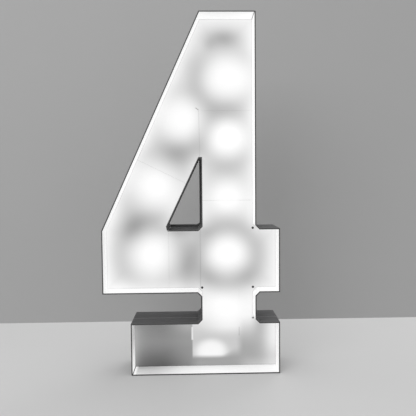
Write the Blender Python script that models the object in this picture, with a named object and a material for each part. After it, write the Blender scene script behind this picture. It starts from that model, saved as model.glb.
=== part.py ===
# Light up marquee number 4: a folded sheet light box with a deep front visor, a translucent
# front made of butted sheets, nine globe lamps on the back panel, and a service hatch behind.
# Metres, +Z up, the front faces -Y, the origin is at the middle of the base.
import math

import bmesh
import bpy
from mathutils import Matrix, Vector

# The figure, seen from the front
NUMBER_HEIGHT = 1.200
HALF_WIDTH = 0.296
BODY_DEPTH = 0.150
STEM_LEFT_X = 0.032
STEM_WIDTH = 0.185
CROSSBAR_BOTTOM_Z = 0.276
CROSSBAR_HEIGHT = 0.215
FOOT_HEIGHT = 0.175
FOOT_LEFT_X = -0.204
KNEE_Z = 0.487
TOP_LEFT_X = 0.031
HOLE_LEFT_X = -0.0842
HOLE_INTO_STEM = 0.0028
HOLE_BELOW_ARM = 0.0035
HOLE_APEX_WIDTH = 0.006
HOLE_RUN_SHARE = 0.477
HOLE_TIP_LEAN = 0.0028
FACET = 0.012

# Sheets, joints and clearances
SHEET = 0.004
DIFFUSER_THICKNESS = 0.003
LAMP_SPACE = 0.067
BACK_RECESS = 0.008
GAP = 0.0003
OVERRUN = 0.002
STRIP_JOINT = 0.0012
SEAM_GAP = 0.0005
SMOOTH_ANGLE = math.radians(35)

# Diffuser seams and relief cuts: seam heights are shares of the edge or opening that they cross
SEAM_CORNER_BESIDE_STEM = 0.0028
SEAM_CORNER_HEIGHT_SHARE = 0.3476
STEM_SEAM_SHARE = 0.394
LEG_SEAM_OUTER_SHARE = 0.3352
LEG_SEAM_INNER_SHARE = 0.625
STEM_EDGE_SEAM_INSET = 0.0015
RELIEF_RADIUS = 0.004
RELIEF_SIDES = 10
SLOT_LENGTH = 0.014
SLOT_WIDTH = 0.003
SLOT_ANGLE = math.radians(-35)
SLOT_BACK = 0.0054
SLOT_UP = 0.0063

# Lamps: heights are shares of the stroke that carries each, insets are from its outer edge
NECK_LAMP_SHARE = 0.262
CROSSBAR_LAMP_SHARES = (0.549, 0.563)
STEM_LAMP_SHARES = (0.1636, 0.4245, 0.7137)
LEG_LAMP_SHARES = (0.519, 0.2024)
LEG_LAMP_INSETS = (0.095, 0.105)
CROSSBAR_LAMP_INSET = 0.160
FOOT_LAMP_INSET = 0.066
FLANGE_RADIUS = 0.017
FLANGE_THICKNESS = 0.003
HOLDER_RADIUS = 0.012
HOLDER_LENGTH = 0.020
HOLDER_FLOOR = 0.005
CAP_RADIUS = 0.0070
NECK_RADIUS = 0.0078
NECK_LENGTH = 0.004
GLOBE_RADIUS = 0.0185
LAMP_SIDES = 16
GLOBE_STEPS = 7

# Leads
LEAD_RADIUS = 0.0015
LEAD_END = 0.0006
LEAD_POINTS = 9
LEAD_ARC_STEP = math.radians(24)

# Back panel joint, battens, screws and vents
SPLICE_BELOW_APEX = 0.0244
SPLICE_PLATE = 0.046
SPLICE_PLATE_THICKNESS = 0.003
SPLICE_PLATE_INSET = 0.038
BATTEN_DEPTH = 0.016
TOP_BATTEN_HEIGHT = 0.018
BATTEN_END = 0.004
SCREW_INSET = 0.030
SCREW_RADIUS = 0.0016
SCREW_HEAD_RADIUS = 0.0040
SCREW_HEAD_HEIGHT = 0.0020
SCREW_HEAD_FLAT_SHARE = 0.7
SCREW_HEAD_EDGE_SHARE = 0.35
SCREW_LENGTH = 0.016
SCREW_SIDES = 10
VENT_LENGTH = 0.060
VENT_WIDTH = 0.0036
VENT_PITCH = 0.011
VENT_COUNT = 5
VENT_ARC_STEPS = 3
TOP_VENT_BELOW_TOP = 0.105

# Inner channel that stands in the foot and the lower stem
CHANNEL_LEFT_X = 0.0
CHANNEL_RIGHT_X = 0.164
CHANNEL_FLOOR_Z = 0.033
CHANNEL_CLEAR = 0.001
NOTCH_HEIGHT = 0.012
NOTCH_DEPTH = 0.008

# Service hatch in the back of the foot
HATCH_LEFT_X = -0.166
HATCH_WIDTH = 0.102
HATCH_BOTTOM_Z = 0.036
HATCH_HEIGHT = 0.100
HATCH_CLEARANCE = 0.0010
LEAF_THICKNESS = 0.0012
LEAF_WIDTH = 0.014
LEAF_HEIGHT = 0.075
KNUCKLE_RADIUS = 0.0026
KNUCKLE_COUNT = 5
PIN_RADIUS = 0.0011
HINGE_SIDES = 14
STRIKE_WIDTH = 0.010
STRIKE_THICKNESS = 0.0010
STRIKE_LENGTH = 0.060
MAGNET_WIDTH = 0.016
MAGNET_THICKNESS = 0.004
KNOB_RADIUS = 0.0060
KNOB_NECK_RADIUS = 0.0032
KNOB_NECK = 0.0030
KNOB_HEIGHT = 0.0070
KNOB_TOP_SHARE = 0.8
KNOB_FROM_EDGE = 0.014

# Switch and power inlet, beside the hatch
CONTROLS_FROM_HATCH = 0.034
SWITCH_Z = 0.122
SWITCH_HALF_WIDTH = 0.0062
SWITCH_HALF_HEIGHT = 0.0096
SWITCH_BODY_DEPTH = 0.016
SWITCH_WALL = 0.0014
SWITCH_FLANGE = 0.0015
SWITCH_LIP = 0.0016
ROCKER_CLEARANCE = 0.0004
ROCKER_PIVOT_BELOW = 0.0020
ROCKER_TILT = math.radians(10)
ROCKER_TOP_ANGLE = math.radians(22)
ROCKER_BOTTOM_ANGLE = math.radians(-28)
ROCKER_VALLEY = 0.0012
ROCKER_FLOOR_CLEARANCE = 0.0008
ROCKER_ARC_STEPS = 4
INLET_Z = 0.084
INLET_RADIUS = 0.0042
INLET_LENGTH = 0.013
INLET_BORE = 0.0028
INLET_BORE_DEPTH = 0.009
INLET_FLANGE_RADIUS = 0.0062
INLET_PIN_RADIUS = 0.0009
INLET_PIN_LENGTH = 0.007
NUT_RADIUS = 0.0070
NUT_THICKNESS = 0.0024
NUT_SIDES = 6

# Driver box inside the foot
BOX_LEFT_X = -0.160
BOX_WIDTH = 0.090
BOX_HEIGHT = 0.058
BOX_DEPTH = 0.030
BOX_WALL = 0.002
BOX_FROM_PANEL = 0.018
BOARD_THICKNESS = 0.0016
BOARD_CLEARANCE = 0.003
COIL_WIDTH = 0.024
COIL_HEIGHT = 0.014
FEED_Z_SHARE = 0.72
FEED_DEPTH_SHARE = 0.80
TAIL_DEPTH_SHARES = (0.28, 0.52)
TAIL_Z_SHARES = (0.50, 0.30)

STEM_RIGHT_X = STEM_LEFT_X + STEM_WIDTH
STEM_MIDDLE_X = STEM_LEFT_X + STEM_WIDTH / 2
CROSSBAR_TOP_Z = CROSSBAR_BOTTOM_Z + CROSSBAR_HEIGHT
FRONT_Y = -BODY_DEPTH / 2
REAR_Y = BODY_DEPTH / 2
PANEL_OUTER_Y = REAR_Y - BACK_RECESS
PANEL_INNER_Y = PANEL_OUTER_Y - SHEET
DIFFUSER_BACK_Y = PANEL_INNER_Y - LAMP_SPACE
DIFFUSER_Y = DIFFUSER_BACK_Y - DIFFUSER_THICKNESS
HOLE_RIGHT_X = STEM_LEFT_X + HOLE_INTO_STEM
HOLE_FLOOR_Z = CROSSBAR_TOP_Z - HOLE_BELOW_ARM
HOLE_APEX_Z = HOLE_FLOOR_Z + (HOLE_RIGHT_X - HOLE_APEX_WIDTH - HOLE_LEFT_X) / HOLE_RUN_SHARE
HOLE_TIP_X = HOLE_LEFT_X + FACET * HOLE_RUN_SHARE
SPLICE_Z = HOLE_APEX_Z - SPLICE_BELOW_APEX
FOOT_LAMP_Z = CHANNEL_FLOOR_Z + FLANGE_RADIUS + CHANNEL_CLEAR * 4
CONTROLS_X = HATCH_LEFT_X + HATCH_WIDTH + CONTROLS_FROM_HATCH
HINGE_AXIS_X = HATCH_LEFT_X
HINGE_AXIS_Y = PANEL_OUTER_Y + GAP + KNUCKLE_RADIUS

OUTLINE = {
    "foot_bottom_left": (FOOT_LEFT_X, 0),
    "foot_bottom_right": (HALF_WIDTH, 0),
    "foot_top_right": (HALF_WIDTH, FOOT_HEIGHT),
    "foot_facet_right_low": (STEM_RIGHT_X + FACET, FOOT_HEIGHT),
    "foot_facet_right_high": (STEM_RIGHT_X, FOOT_HEIGHT + FACET),
    "stub_facet_low": (STEM_RIGHT_X, CROSSBAR_BOTTOM_Z - FACET),
    "stub_facet_high": (STEM_RIGHT_X + FACET, CROSSBAR_BOTTOM_Z),
    "stub_bottom": (HALF_WIDTH, CROSSBAR_BOTTOM_Z),
    "stub_top": (HALF_WIDTH, CROSSBAR_TOP_Z),
    "stem_facet_low": (STEM_RIGHT_X + FACET, CROSSBAR_TOP_Z),
    "stem_facet_high": (STEM_RIGHT_X, CROSSBAR_TOP_Z + FACET),
    "top_right": (STEM_RIGHT_X, NUMBER_HEIGHT),
    "top_left": (TOP_LEFT_X, NUMBER_HEIGHT),
    "knee": (-HALF_WIDTH, KNEE_Z),
    "crossbar_left": (-HALF_WIDTH, CROSSBAR_BOTTOM_Z),
    "crossbar_facet_left": (STEM_LEFT_X - FACET, CROSSBAR_BOTTOM_Z),
    "crossbar_facet_low": (STEM_LEFT_X, CROSSBAR_BOTTOM_Z - FACET),
    "foot_facet_left_high": (STEM_LEFT_X, FOOT_HEIGHT + FACET),
    "foot_facet_left_low": (STEM_LEFT_X - FACET, FOOT_HEIGHT),
    "foot_top_left": (FOOT_LEFT_X, FOOT_HEIGHT),
}
# The leg's inner edge would meet the hole's floor at HOLE_LEFT_X, but for the facet in that corner
HOLE = {
    "hole_tip_low": (HOLE_TIP_X + HOLE_TIP_LEAN, HOLE_FLOOR_Z),
    "hole_facet_low": (HOLE_RIGHT_X - FACET, HOLE_FLOOR_Z),
    "hole_facet_high": (HOLE_RIGHT_X, HOLE_FLOOR_Z + FACET),
    "hole_apex_right": (HOLE_RIGHT_X, HOLE_APEX_Z),
    "hole_apex_left": (HOLE_RIGHT_X - HOLE_APEX_WIDTH, HOLE_APEX_Z),
    "hole_tip_high": (HOLE_TIP_X, HOLE_FLOOR_Z + FACET),
}


def start_scene():
    for item in list(bpy.data.objects):
        bpy.data.objects.remove(item, do_unlink=True)


def plain_material(name, colour, roughness, metallic=0.0, transmission=0.0):
    material = bpy.data.materials.new(name)
    material.use_nodes = True
    shader = material.node_tree.nodes["Principled BSDF"]
    shader.inputs["Base Color"].default_value = (*colour, 1.0)
    shader.inputs["Roughness"].default_value = roughness
    shader.inputs["Metallic"].default_value = metallic
    shader.inputs["Transmission Weight"].default_value = transmission
    material.diffuse_color = (*colour, 1.0)
    return material


# Outlines in the plane of the figure

def offset_outline(points, distance):
    """Moves a counter-clockwise outline outwards by distance, with mitred corners."""
    moved = []
    count = len(points)
    for i, (x, z) in enumerate(points):
        before = Vector(points[i]) - Vector(points[i - 1])
        after = Vector(points[(i + 1) % count]) - Vector(points[i])
        before.normalize()
        after.normalize()
        normal_before = Vector((before.y, -before.x))
        normal_after = Vector((after.y, -after.x))
        mitre = normal_before + normal_after
        mitre *= distance / (1 + normal_before.dot(normal_after))
        moved.append((x + mitre.x, z + mitre.y))
    return moved


def named_offset(outline, distance):
    return dict(zip(outline, offset_outline(list(outline.values()), distance)))


def between(start, end, share):
    return tuple(a + (b - a) * share for a, b in zip(start, end))


def at_height(start, end, z):
    return between(start, end, (z - start[1]) / (end[1] - start[1]))


def at_x(start, end, x):
    return between(start, end, (x - start[0]) / (end[0] - start[0]))


def circle(centre, radius, sides, turn=0.0):
    return [
        (centre[0] + radius * math.cos(turn + math.tau * i / sides),
         centre[1] + radius * math.sin(turn + math.tau * i / sides))
        for i in range(sides)
    ]


def rounded_slot(centre, length, width, angle, steps):
    """A slot with round ends, length from end to end."""
    points = []
    for side in (0, 1):
        for i in range(steps + 1):
            turn = math.pi * (side + i / steps) - math.pi / 2
            along = (length - width) / 2 * (1 - 2 * side) + width / 2 * math.cos(turn)
            across = width / 2 * math.sin(turn)
            points.append((
                centre[0] + along * math.cos(angle) - across * math.sin(angle),
                centre[1] + along * math.sin(angle) + across * math.cos(angle),
            ))
    return points


def rectangle(low_u, low_v, high_u, high_v):
    return [(low_u, low_v), (high_u, low_v), (high_u, high_v), (low_u, high_v)]


# Solids

def place(axis, u, v, along):
    """Puts an outline point (u, v) in space: (x, z) for axis Y, (y, z) for X and (x, y) for Z."""
    if axis == "Y":
        return Vector((u, along, v))
    if axis == "X":
        return Vector((along, u, v))
    return Vector((u, v, along))


def add_prism(mesh, loops, axis, low, high):
    """Fills the first loop less the others, and extrudes it along an axis."""
    edges = []
    for loop in loops:
        verts = [mesh.verts.new(place(axis, u, v, low)) for u, v in loop]
        edges += [mesh.edges.new(pair) for pair in zip(verts, verts[1:] + verts[:1])]
    filled = bmesh.ops.triangle_fill(mesh, use_beauty=True, use_dissolve=False, edges=edges)
    faces = [item for item in filled["geom"] if isinstance(item, bmesh.types.BMFace)]
    swept = bmesh.ops.extrude_face_region(mesh, geom=faces)["geom"]
    moved = [item for item in swept if isinstance(item, bmesh.types.BMVert)]
    bmesh.ops.translate(mesh, verts=moved, vec=place(axis, 0, 0, high - low))


def add_box(mesh, low, high):
    add_prism(mesh, [rectangle(low[0], low[2], high[0], high[2])], "Y", low[1], high[1])


def add_turned(mesh, profile, origin, axis, sides):
    """Turns a profile of (radius, distance along the axis), which starts and ends on the axis."""
    axis = Vector(axis)
    side = axis.orthogonal().normalized()
    verts = [mesh.verts.new(Vector(origin) + side * r + axis * s) for r, s in profile]
    edges = [mesh.edges.new(pair) for pair in zip(verts, verts[1:])]
    bmesh.ops.spin(mesh, geom=verts + edges, cent=Vector(origin), axis=axis,
                   angle=math.tau, steps=sides, use_merge=True)
    bmesh.ops.remove_doubles(mesh, verts=list(mesh.verts), dist=GAP / 100)


def add_stepped(mesh, centre, steps):
    """A rectangular well or block facing +Y, as rings of (half width, half height, y)."""
    rings = []
    for half_width, half_height, y in steps:
        corners = rectangle(centre[0] - half_width, centre[1] - half_height,
                            centre[0] + half_width, centre[1] + half_height)
        rings.append([mesh.verts.new((x, y, z)) for x, z in corners])
    for ring, following in zip(rings, rings[1:]):
        for i in range(len(ring)):
            mesh.faces.new((ring[i - 1], ring[i], following[i], following[i - 1]))
    mesh.faces.new(rings[0])
    mesh.faces.new(rings[-1])


def make_node(name, mesh, material, origin=(0, 0, 0), smooth=False):
    """Turns a mesh modelled in world space into a named piece whose origin is given."""
    bmesh.ops.recalc_face_normals(mesh, faces=mesh.faces)
    bmesh.ops.translate(mesh, verts=mesh.verts, vec=-Vector(origin))
    data = bpy.data.meshes.new(name)
    mesh.to_mesh(data)
    mesh.free()
    data.materials.append(material)
    if smooth:
        data.shade_smooth()
        data.set_sharp_from_angle(angle=SMOOTH_ANGLE)
    return link_node(name, data, origin)


def link_node(name, data, origin):
    node = bpy.data.objects.new(name, data)
    node.location = origin
    bpy.context.collection.objects.link(node)
    return node


# Folded strips: the visor in front of the diffuser and the wall behind it

def run_of(outline, first, last):
    names = list(outline)
    start, end = names.index(first), names.index(last)
    if end <= start:
        end += len(names)
    return [names[i % len(names)] for i in range(start, end + 1)]


def strip_points(outline, run):
    """Ends of a strip stand half a joint back from the corner where two strips meet."""
    points = [Vector(outline[name]) for name in run]
    back = STRIP_JOINT / 2
    points[0] = points[0] + (points[1] - points[0]).normalized() * back
    points[-1] = points[-1] + (points[-2] - points[-1]).normalized() * back
    return points


def folded_strip(name, outline, thickness, first, last, front, back, material):
    run = run_of(outline, first, last)
    outer = strip_points(outline, run)
    inner = strip_points(named_offset(outline, thickness), run)
    mesh = bmesh.new()
    add_prism(mesh, [outer + inner[::-1]], "Y", front, back)
    return make_node(name, mesh, material)


def build_strips(material):
    rows = (("visor", FRONT_Y, DIFFUSER_Y - GAP), ("wall", DIFFUSER_BACK_Y + GAP, REAR_Y))
    for row, front, back in rows:
        folded_strip(row + "_right_strip", OUTLINE, -SHEET, "foot_bottom_left", "top_right",
                     front, back, material)
        folded_strip(row + "_left_strip", OUTLINE, -SHEET, "top_right", "foot_bottom_left",
                     front, back, material)
        folded_strip(row + "_hole_strip", HOLE, SHEET, "hole_tip_low", "hole_tip_low",
                     front, back, material)


# Diffuser sheets, butted at seams that cross the figure

def build_diffuser(material):
    o, h = OUTLINE, HOLE
    apex = between(h["hole_apex_left"], h["hole_apex_right"], 0.5)
    corner = (STEM_LEFT_X - SEAM_CORNER_BESIDE_STEM,
              HOLE_APEX_Z + (NUMBER_HEIGHT - HOLE_APEX_Z) * SEAM_CORNER_HEIGHT_SHARE)
    stem_seam_z = CROSSBAR_TOP_Z + (HOLE_APEX_Z - CROSSBAR_TOP_Z) * STEM_SEAM_SHARE
    corner_right = at_height(o["stem_facet_high"], o["top_right"], corner[1])
    stem_right = at_height(o["stem_facet_high"], o["top_right"], stem_seam_z)
    stem_left = at_height(h["hole_facet_high"], h["hole_apex_right"], stem_seam_z)
    leg_outer = between(o["knee"], o["top_left"], LEG_SEAM_OUTER_SHARE)
    leg_inner = between(h["hole_tip_high"], h["hole_apex_left"], LEG_SEAM_INNER_SHARE)
    edge_x = STEM_LEFT_X - STEM_EDGE_SEAM_INSET
    edge_top = at_x(h["hole_facet_low"], h["hole_facet_high"], edge_x)
    edge_bottom = at_x(o["crossbar_facet_left"], o["crossbar_facet_low"], edge_x)
    end_bottom = at_x(o["crossbar_left"], o["crossbar_facet_left"], HOLE_TIP_X)

    slot_centre = (corner[0] - SLOT_BACK, corner[1] + SLOT_UP)
    slot = rounded_slot(slot_centre, SLOT_LENGTH, SLOT_WIDTH, SLOT_ANGLE, VENT_ARC_STEPS)
    relief_places = (
        (STEM_LEFT_X + SHEET, CROSSBAR_BOTTOM_Z + SHEET),
        (STEM_RIGHT_X - SHEET, CROSSBAR_BOTTOM_Z + SHEET),
        (STEM_RIGHT_X - SHEET, CROSSBAR_TOP_Z - SHEET),
        (STEM_RIGHT_X - SHEET, FOOT_HEIGHT - SHEET),
    )
    reliefs = [circle(centre, RELIEF_RADIUS, RELIEF_SIDES) for centre in relief_places]

    sheets = {
        "diffuser_top_sheet": ([
            corner_right, o["top_right"], o["top_left"], leg_outer, leg_inner,
            h["hole_apex_left"], apex, corner,
        ], [slot]),
        "diffuser_stem_sheet": ([
            stem_left, stem_right, corner_right, corner, apex, h["hole_apex_right"],
        ], []),
        "diffuser_leg_sheet": ([
            leg_outer, o["knee"], o["crossbar_left"], end_bottom, h["hole_tip_high"], leg_inner,
        ], []),
        "diffuser_crossbar_sheet": ([
            end_bottom, o["crossbar_facet_left"], edge_bottom, edge_top,
            h["hole_facet_low"], h["hole_tip_low"], h["hole_tip_high"],
        ], []),
        "diffuser_foot_sheet": ([
            edge_bottom, *(o[name] for name in run_of(o, "crossbar_facet_low", "stem_facet_high")),
            stem_right, stem_left, h["hole_facet_high"], edge_top,
        ], reliefs),
    }
    for name, (points, cuts) in sheets.items():
        mesh = bmesh.new()
        add_prism(mesh, [offset_outline(points, -SEAM_GAP / 2)] + cuts, "Y",
                  DIFFUSER_Y, DIFFUSER_BACK_Y)
        make_node(name, mesh, material)


# Battens along the inside of the top and bottom walls, and the screws driven into them

def batten_boxes():
    """Low and high corners of the foot batten and the top batten, in the plane of the figure."""
    edge = SHEET + GAP
    side = edge + BATTEN_END
    foot = ((FOOT_LEFT_X + side, edge), (HALF_WIDTH - side, CHANNEL_FLOOR_Z - SHEET - GAP))
    top_left = named_offset(OUTLINE, -edge)["top_left"][0] + BATTEN_END
    top = ((top_left, NUMBER_HEIGHT - edge - TOP_BATTEN_HEIGHT),
           (STEM_RIGHT_X - side, NUMBER_HEIGHT - edge))
    return foot, top


def screw_places():
    places = []
    for low, high in batten_boxes():
        middle_z = (low[1] + high[1]) / 2
        places += [(low[0] + SCREW_INSET, middle_z), (high[0] - SCREW_INSET, middle_z)]
    return places


def build_battens(screws, material, screw_material):
    back = PANEL_INNER_Y - GAP
    names = ("foot_batten", "top_batten")
    for name, (low, high), pair in zip(names, batten_boxes(), (screws[:2], screws[2:])):
        bores = [circle(centre, SCREW_RADIUS + GAP, SCREW_SIDES) for centre in pair]
        mesh = bmesh.new()
        add_prism(mesh, [rectangle(*low, *high)] + bores, "Y", back - BATTEN_DEPTH, back)
        make_node(name, mesh, material)

    head = PANEL_OUTER_Y + GAP
    profile = [
        (0, SCREW_HEAD_HEIGHT), (SCREW_HEAD_RADIUS * SCREW_HEAD_FLAT_SHARE, SCREW_HEAD_HEIGHT),
        (SCREW_HEAD_RADIUS, SCREW_HEAD_HEIGHT * SCREW_HEAD_EDGE_SHARE), (SCREW_HEAD_RADIUS, 0),
        (SCREW_RADIUS, 0), (SCREW_RADIUS, -SCREW_LENGTH), (0, -SCREW_LENGTH - SCREW_RADIUS),
    ]
    shared = None
    for number, (x, z) in enumerate(screws, start=1):
        origin = (x, head, z)
        if shared is None:
            mesh = bmesh.new()
            add_turned(mesh, profile, origin, (0, 1, 0), SCREW_SIDES)
            shared = make_node(f"back_screw_{number}", mesh, screw_material, origin, smooth=True).data
            continue
        link_node(f"back_screw_{number}", shared, origin)


# Back panel in two pieces, joined by plates

def vent_slots(centre, angle=0.0):
    slots = []
    for i in range(VENT_COUNT):
        shift = (i - (VENT_COUNT - 1) / 2) * VENT_PITCH
        middle = (centre[0] - shift * math.sin(angle), centre[1] + shift * math.cos(angle))
        slots.append(rounded_slot(middle, VENT_LENGTH, VENT_WIDTH, angle, VENT_ARC_STEPS))
    return slots


def build_back_panel(screws, material, plate_material):
    margin = SHEET + GAP
    outline = named_offset(OUTLINE, -margin)
    hole = named_offset(HOLE, margin)
    stem = (outline["stem_facet_high"], outline["top_right"])
    leg = (outline["top_left"], outline["knee"])
    hole_leg = (hole["hole_apex_left"], hole["hole_tip_high"])
    hole_stem = (hole["hole_facet_high"], hole["hole_apex_right"])

    half = SEAM_GAP / 2
    above, below = SPLICE_Z + half, SPLICE_Z - half
    upper = [
        at_height(*stem, above), outline["top_right"], outline["top_left"],
        at_height(*leg, above), at_height(*hole_leg, above),
        hole["hole_apex_left"], hole["hole_apex_right"], at_height(*hole_stem, above),
    ]
    lower = [
        *(outline[name] for name in run_of(outline, "foot_bottom_left", "stem_facet_high")),
        at_height(*stem, below), at_height(*hole_stem, below),
        hole["hole_facet_high"], hole["hole_facet_low"], hole["hole_tip_low"], hole["hole_tip_high"],
        at_height(*hole_leg, below), at_height(*leg, below),
        *(outline[name] for name in run_of(outline, "knee", "foot_top_left")),
    ]
    screw_hole = SCREW_RADIUS + GAP
    bores = [circle(centre, screw_hole, SCREW_SIDES) for centre in screws]
    lower_cuts, upper_cuts = bores[:2], bores[2:]

    upper_cuts += vent_slots((STEM_MIDDLE_X, NUMBER_HEIGHT - TOP_VENT_BELOW_TOP))
    crossbar_middle = (CROSSBAR_BOTTOM_Z + CROSSBAR_TOP_Z) / 2
    lower_cuts += vent_slots(((HOLE_LEFT_X + STEM_LEFT_X) / 2, crossbar_middle))
    lower_cuts += vent_slots(((CHANNEL_RIGHT_X + HALF_WIDTH) / 2, FOOT_HEIGHT / 2))
    lower_cuts.append(rectangle(HATCH_LEFT_X, HATCH_BOTTOM_Z, HATCH_LEFT_X + HATCH_WIDTH,
                                HATCH_BOTTOM_Z + HATCH_HEIGHT))
    lower_cuts.append(rectangle(
        CONTROLS_X - SWITCH_HALF_WIDTH - GAP, SWITCH_Z - SWITCH_HALF_HEIGHT - GAP,
        CONTROLS_X + SWITCH_HALF_WIDTH + GAP, SWITCH_Z + SWITCH_HALF_HEIGHT + GAP))
    lower_cuts.append(circle((CONTROLS_X, INLET_Z), INLET_RADIUS + GAP, LAMP_SIDES))

    for name, points, cuts in (("back_panel_upper", upper, upper_cuts),
                               ("back_panel_lower", lower, lower_cuts)):
        mesh = bmesh.new()
        add_prism(mesh, [points] + cuts, "Y", PANEL_INNER_Y, PANEL_OUTER_Y)
        make_node(name, mesh, material)

    leg_right = at_height(*hole_leg, SPLICE_Z)[0]
    stem_left = at_height(*hole_stem, SPLICE_Z)[0]
    middles = {"splice_plate_leg": leg_right - SPLICE_PLATE_INSET,
               "splice_plate_stem": stem_left + SPLICE_PLATE_INSET}
    back = PANEL_INNER_Y - GAP
    half_plate = SPLICE_PLATE / 2
    for name, x in middles.items():
        mesh = bmesh.new()
        add_box(mesh, (x - half_plate, back - SPLICE_PLATE_THICKNESS, SPLICE_Z - half_plate),
                (x + half_plate, back, SPLICE_Z + half_plate))
        make_node(name, mesh, plate_material)


# Lamps

def lamp_places():
    """Lamps in the order that their lead visits them, from the foot up the stem and down the leg."""
    leg = (OUTLINE["top_left"], OUTLINE["knee"])
    neck = CROSSBAR_BOTTOM_Z - FOOT_HEIGHT
    above = NUMBER_HEIGHT - CROSSBAR_TOP_Z
    stem_share, arm_share = CROSSBAR_LAMP_SHARES
    places = [
        (CHANNEL_LEFT_X + FOOT_LAMP_INSET, FOOT_LAMP_Z),
        (STEM_MIDDLE_X, FOOT_HEIGHT + neck * NECK_LAMP_SHARE),
        (STEM_MIDDLE_X, CROSSBAR_BOTTOM_Z + CROSSBAR_HEIGHT * stem_share),
    ]
    places += [(STEM_MIDDLE_X, CROSSBAR_TOP_Z + above * share) for share in STEM_LAMP_SHARES]
    for share, inset in zip(LEG_LAMP_SHARES, LEG_LAMP_INSETS):
        edge = at_height(*leg, CROSSBAR_TOP_Z + above * share)
        places.append((edge[0] + inset, edge[1]))
    places.append((-HALF_WIDTH + CROSSBAR_LAMP_INSET,
                   CROSSBAR_BOTTOM_Z + CROSSBAR_HEIGHT * arm_share))
    return places


def build_lamps(places, holder_material, glass_material):
    base = PANEL_INNER_Y - GAP
    bore = CAP_RADIUS + GAP
    holder_profile = [
        (0, 0), (FLANGE_RADIUS, 0), (FLANGE_RADIUS, FLANGE_THICKNESS),
        (HOLDER_RADIUS, FLANGE_THICKNESS), (HOLDER_RADIUS, HOLDER_LENGTH),
        (bore, HOLDER_LENGTH), (bore, HOLDER_FLOOR), (0, HOLDER_FLOOR),
    ]
    neck_start = HOLDER_LENGTH + GAP
    neck_angle = math.asin(NECK_RADIUS / GLOBE_RADIUS)
    globe_centre = neck_start + NECK_LENGTH + GLOBE_RADIUS * math.cos(neck_angle)
    bulb_profile = [
        (0, HOLDER_FLOOR + GAP), (CAP_RADIUS, HOLDER_FLOOR + GAP),
        (CAP_RADIUS, neck_start), (NECK_RADIUS, neck_start),
    ]
    for i in range(GLOBE_STEPS + 1):
        angle = neck_angle + (math.pi - neck_angle) * i / GLOBE_STEPS
        radius = GLOBE_RADIUS * math.sin(angle) if i < GLOBE_STEPS else 0
        bulb_profile.append((radius, globe_centre - GLOBE_RADIUS * math.cos(angle)))

    shared = {}
    for number, (x, z) in enumerate(places, start=1):
        origin = (x, base, z)
        for kind, profile, material in (("lamp_holder", holder_profile, holder_material),
                                        ("bulb", bulb_profile, glass_material)):
            name = f"{kind}_{number}"
            if kind in shared:
                link_node(name, shared[kind], origin)
                continue
            mesh = bmesh.new()
            add_turned(mesh, profile, origin, (0, -1, 0), LAMP_SIDES)
            shared[kind] = make_node(name, mesh, material, origin, smooth=True).data


# Leads: one runs past every lamp holder, and two join the switch and the inlet to the driver

def lead_curve(name, points, material):
    curve = bpy.data.curves.new(name, "CURVE")
    curve.dimensions = "3D"
    curve.bevel_depth = LEAD_RADIUS
    curve.bevel_resolution = 1
    curve.use_fill_caps = True
    curve.materials.append(material)
    spline = curve.splines.new("POLY")
    spline.points.add(len(points) - 1)
    for item, point in zip(spline.points, points):
        item.co = (*point, 1.0)
    return link_node(name, curve, (0, 0, 0))


def eased(share):
    return share * share * (3 - 2 * share)


def lead_past_lamps(places, entry):
    """The lead keeps every holder on its left and turns round its flange like a belt."""
    keep_off = FLANGE_RADIUS + LEAD_RADIUS + 2 * GAP
    centres = [Vector(place) for place in places]
    headings = [0.0]
    for here, following in zip(centres, centres[1:]):
        step = following - here
        headings.append(math.atan2(step.y, step.x) % math.tau)
    path = [Vector(entry)]
    for centre, heading_in, heading_out in zip(centres, headings, headings[1:]):
        steps = max(1, math.ceil((heading_out - heading_in) / LEAD_ARC_STEP))
        for i in range(steps + 1):
            side = heading_in + (heading_out - heading_in) * i / steps - math.pi / 2
            path.append(centre + Vector((math.cos(side), math.sin(side))) * keep_off)
            if heading_out - heading_in < LEAD_ARC_STEP / LEAD_POINTS:
                break
    last = centres[-1] - path[-1]
    path.append(centres[-1] - last.normalized() * (FLANGE_RADIUS + LEAD_END))
    return path


def build_leads(places, material):
    panel_y = PANEL_INNER_Y - GAP - LEAD_RADIUS
    box_side = BOX_LEFT_X + BOX_WIDTH + LEAD_END
    box_front = PANEL_INNER_Y - BOX_FROM_PANEL - BOX_DEPTH
    box_bottom = SHEET + GAP
    start = Vector((box_side, box_front + BOX_DEPTH * FEED_DEPTH_SHARE,
                    box_bottom + BOX_HEIGHT * FEED_Z_SHARE))
    entry = (CHANNEL_LEFT_X - SHEET, places[0][1] - FLANGE_RADIUS - LEAD_RADIUS - 2 * GAP)
    points = []
    for i in range(LEAD_POINTS - 1):
        share = i / (LEAD_POINTS - 1)
        blend = eased(share)
        points.append((start.x + (entry[0] - start.x) * share,
                       start.y + (panel_y - start.y) * blend,
                       start.z + (entry[1] - start.z) * blend))
    points += [(point.x, panel_y, point.y) for point in lead_past_lamps(places, entry)]
    lead_curve("lamp_lead", points, material)

    tails = (
        ("switch_lead", SWITCH_Z, PANEL_OUTER_Y + GAP - SWITCH_BODY_DEPTH),
        ("inlet_lead", INLET_Z, PANEL_OUTER_Y + GAP - INLET_LENGTH),
    )
    for (name, z, y), depth_share, z_share in zip(tails, TAIL_DEPTH_SHARES, TAIL_Z_SHARES):
        tip = Vector((CONTROLS_X, y - LEAD_END, z))
        first = tip - Vector((0, 2 * LEAD_RADIUS, 0))
        last = Vector((box_side, box_front + BOX_DEPTH * depth_share,
                       box_bottom + BOX_HEIGHT * z_share))
        points = [tip]
        for i in range(LEAD_POINTS):
            share = i / (LEAD_POINTS - 1)
            turn = share * math.pi / 2
            points.append((last.x + (first.x - last.x) * math.cos(turn),
                           first.y + (last.y - first.y) * math.sin(turn),
                           first.z + (last.z - first.z) * eased(share)))
        lead_curve(name, points, material)


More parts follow.
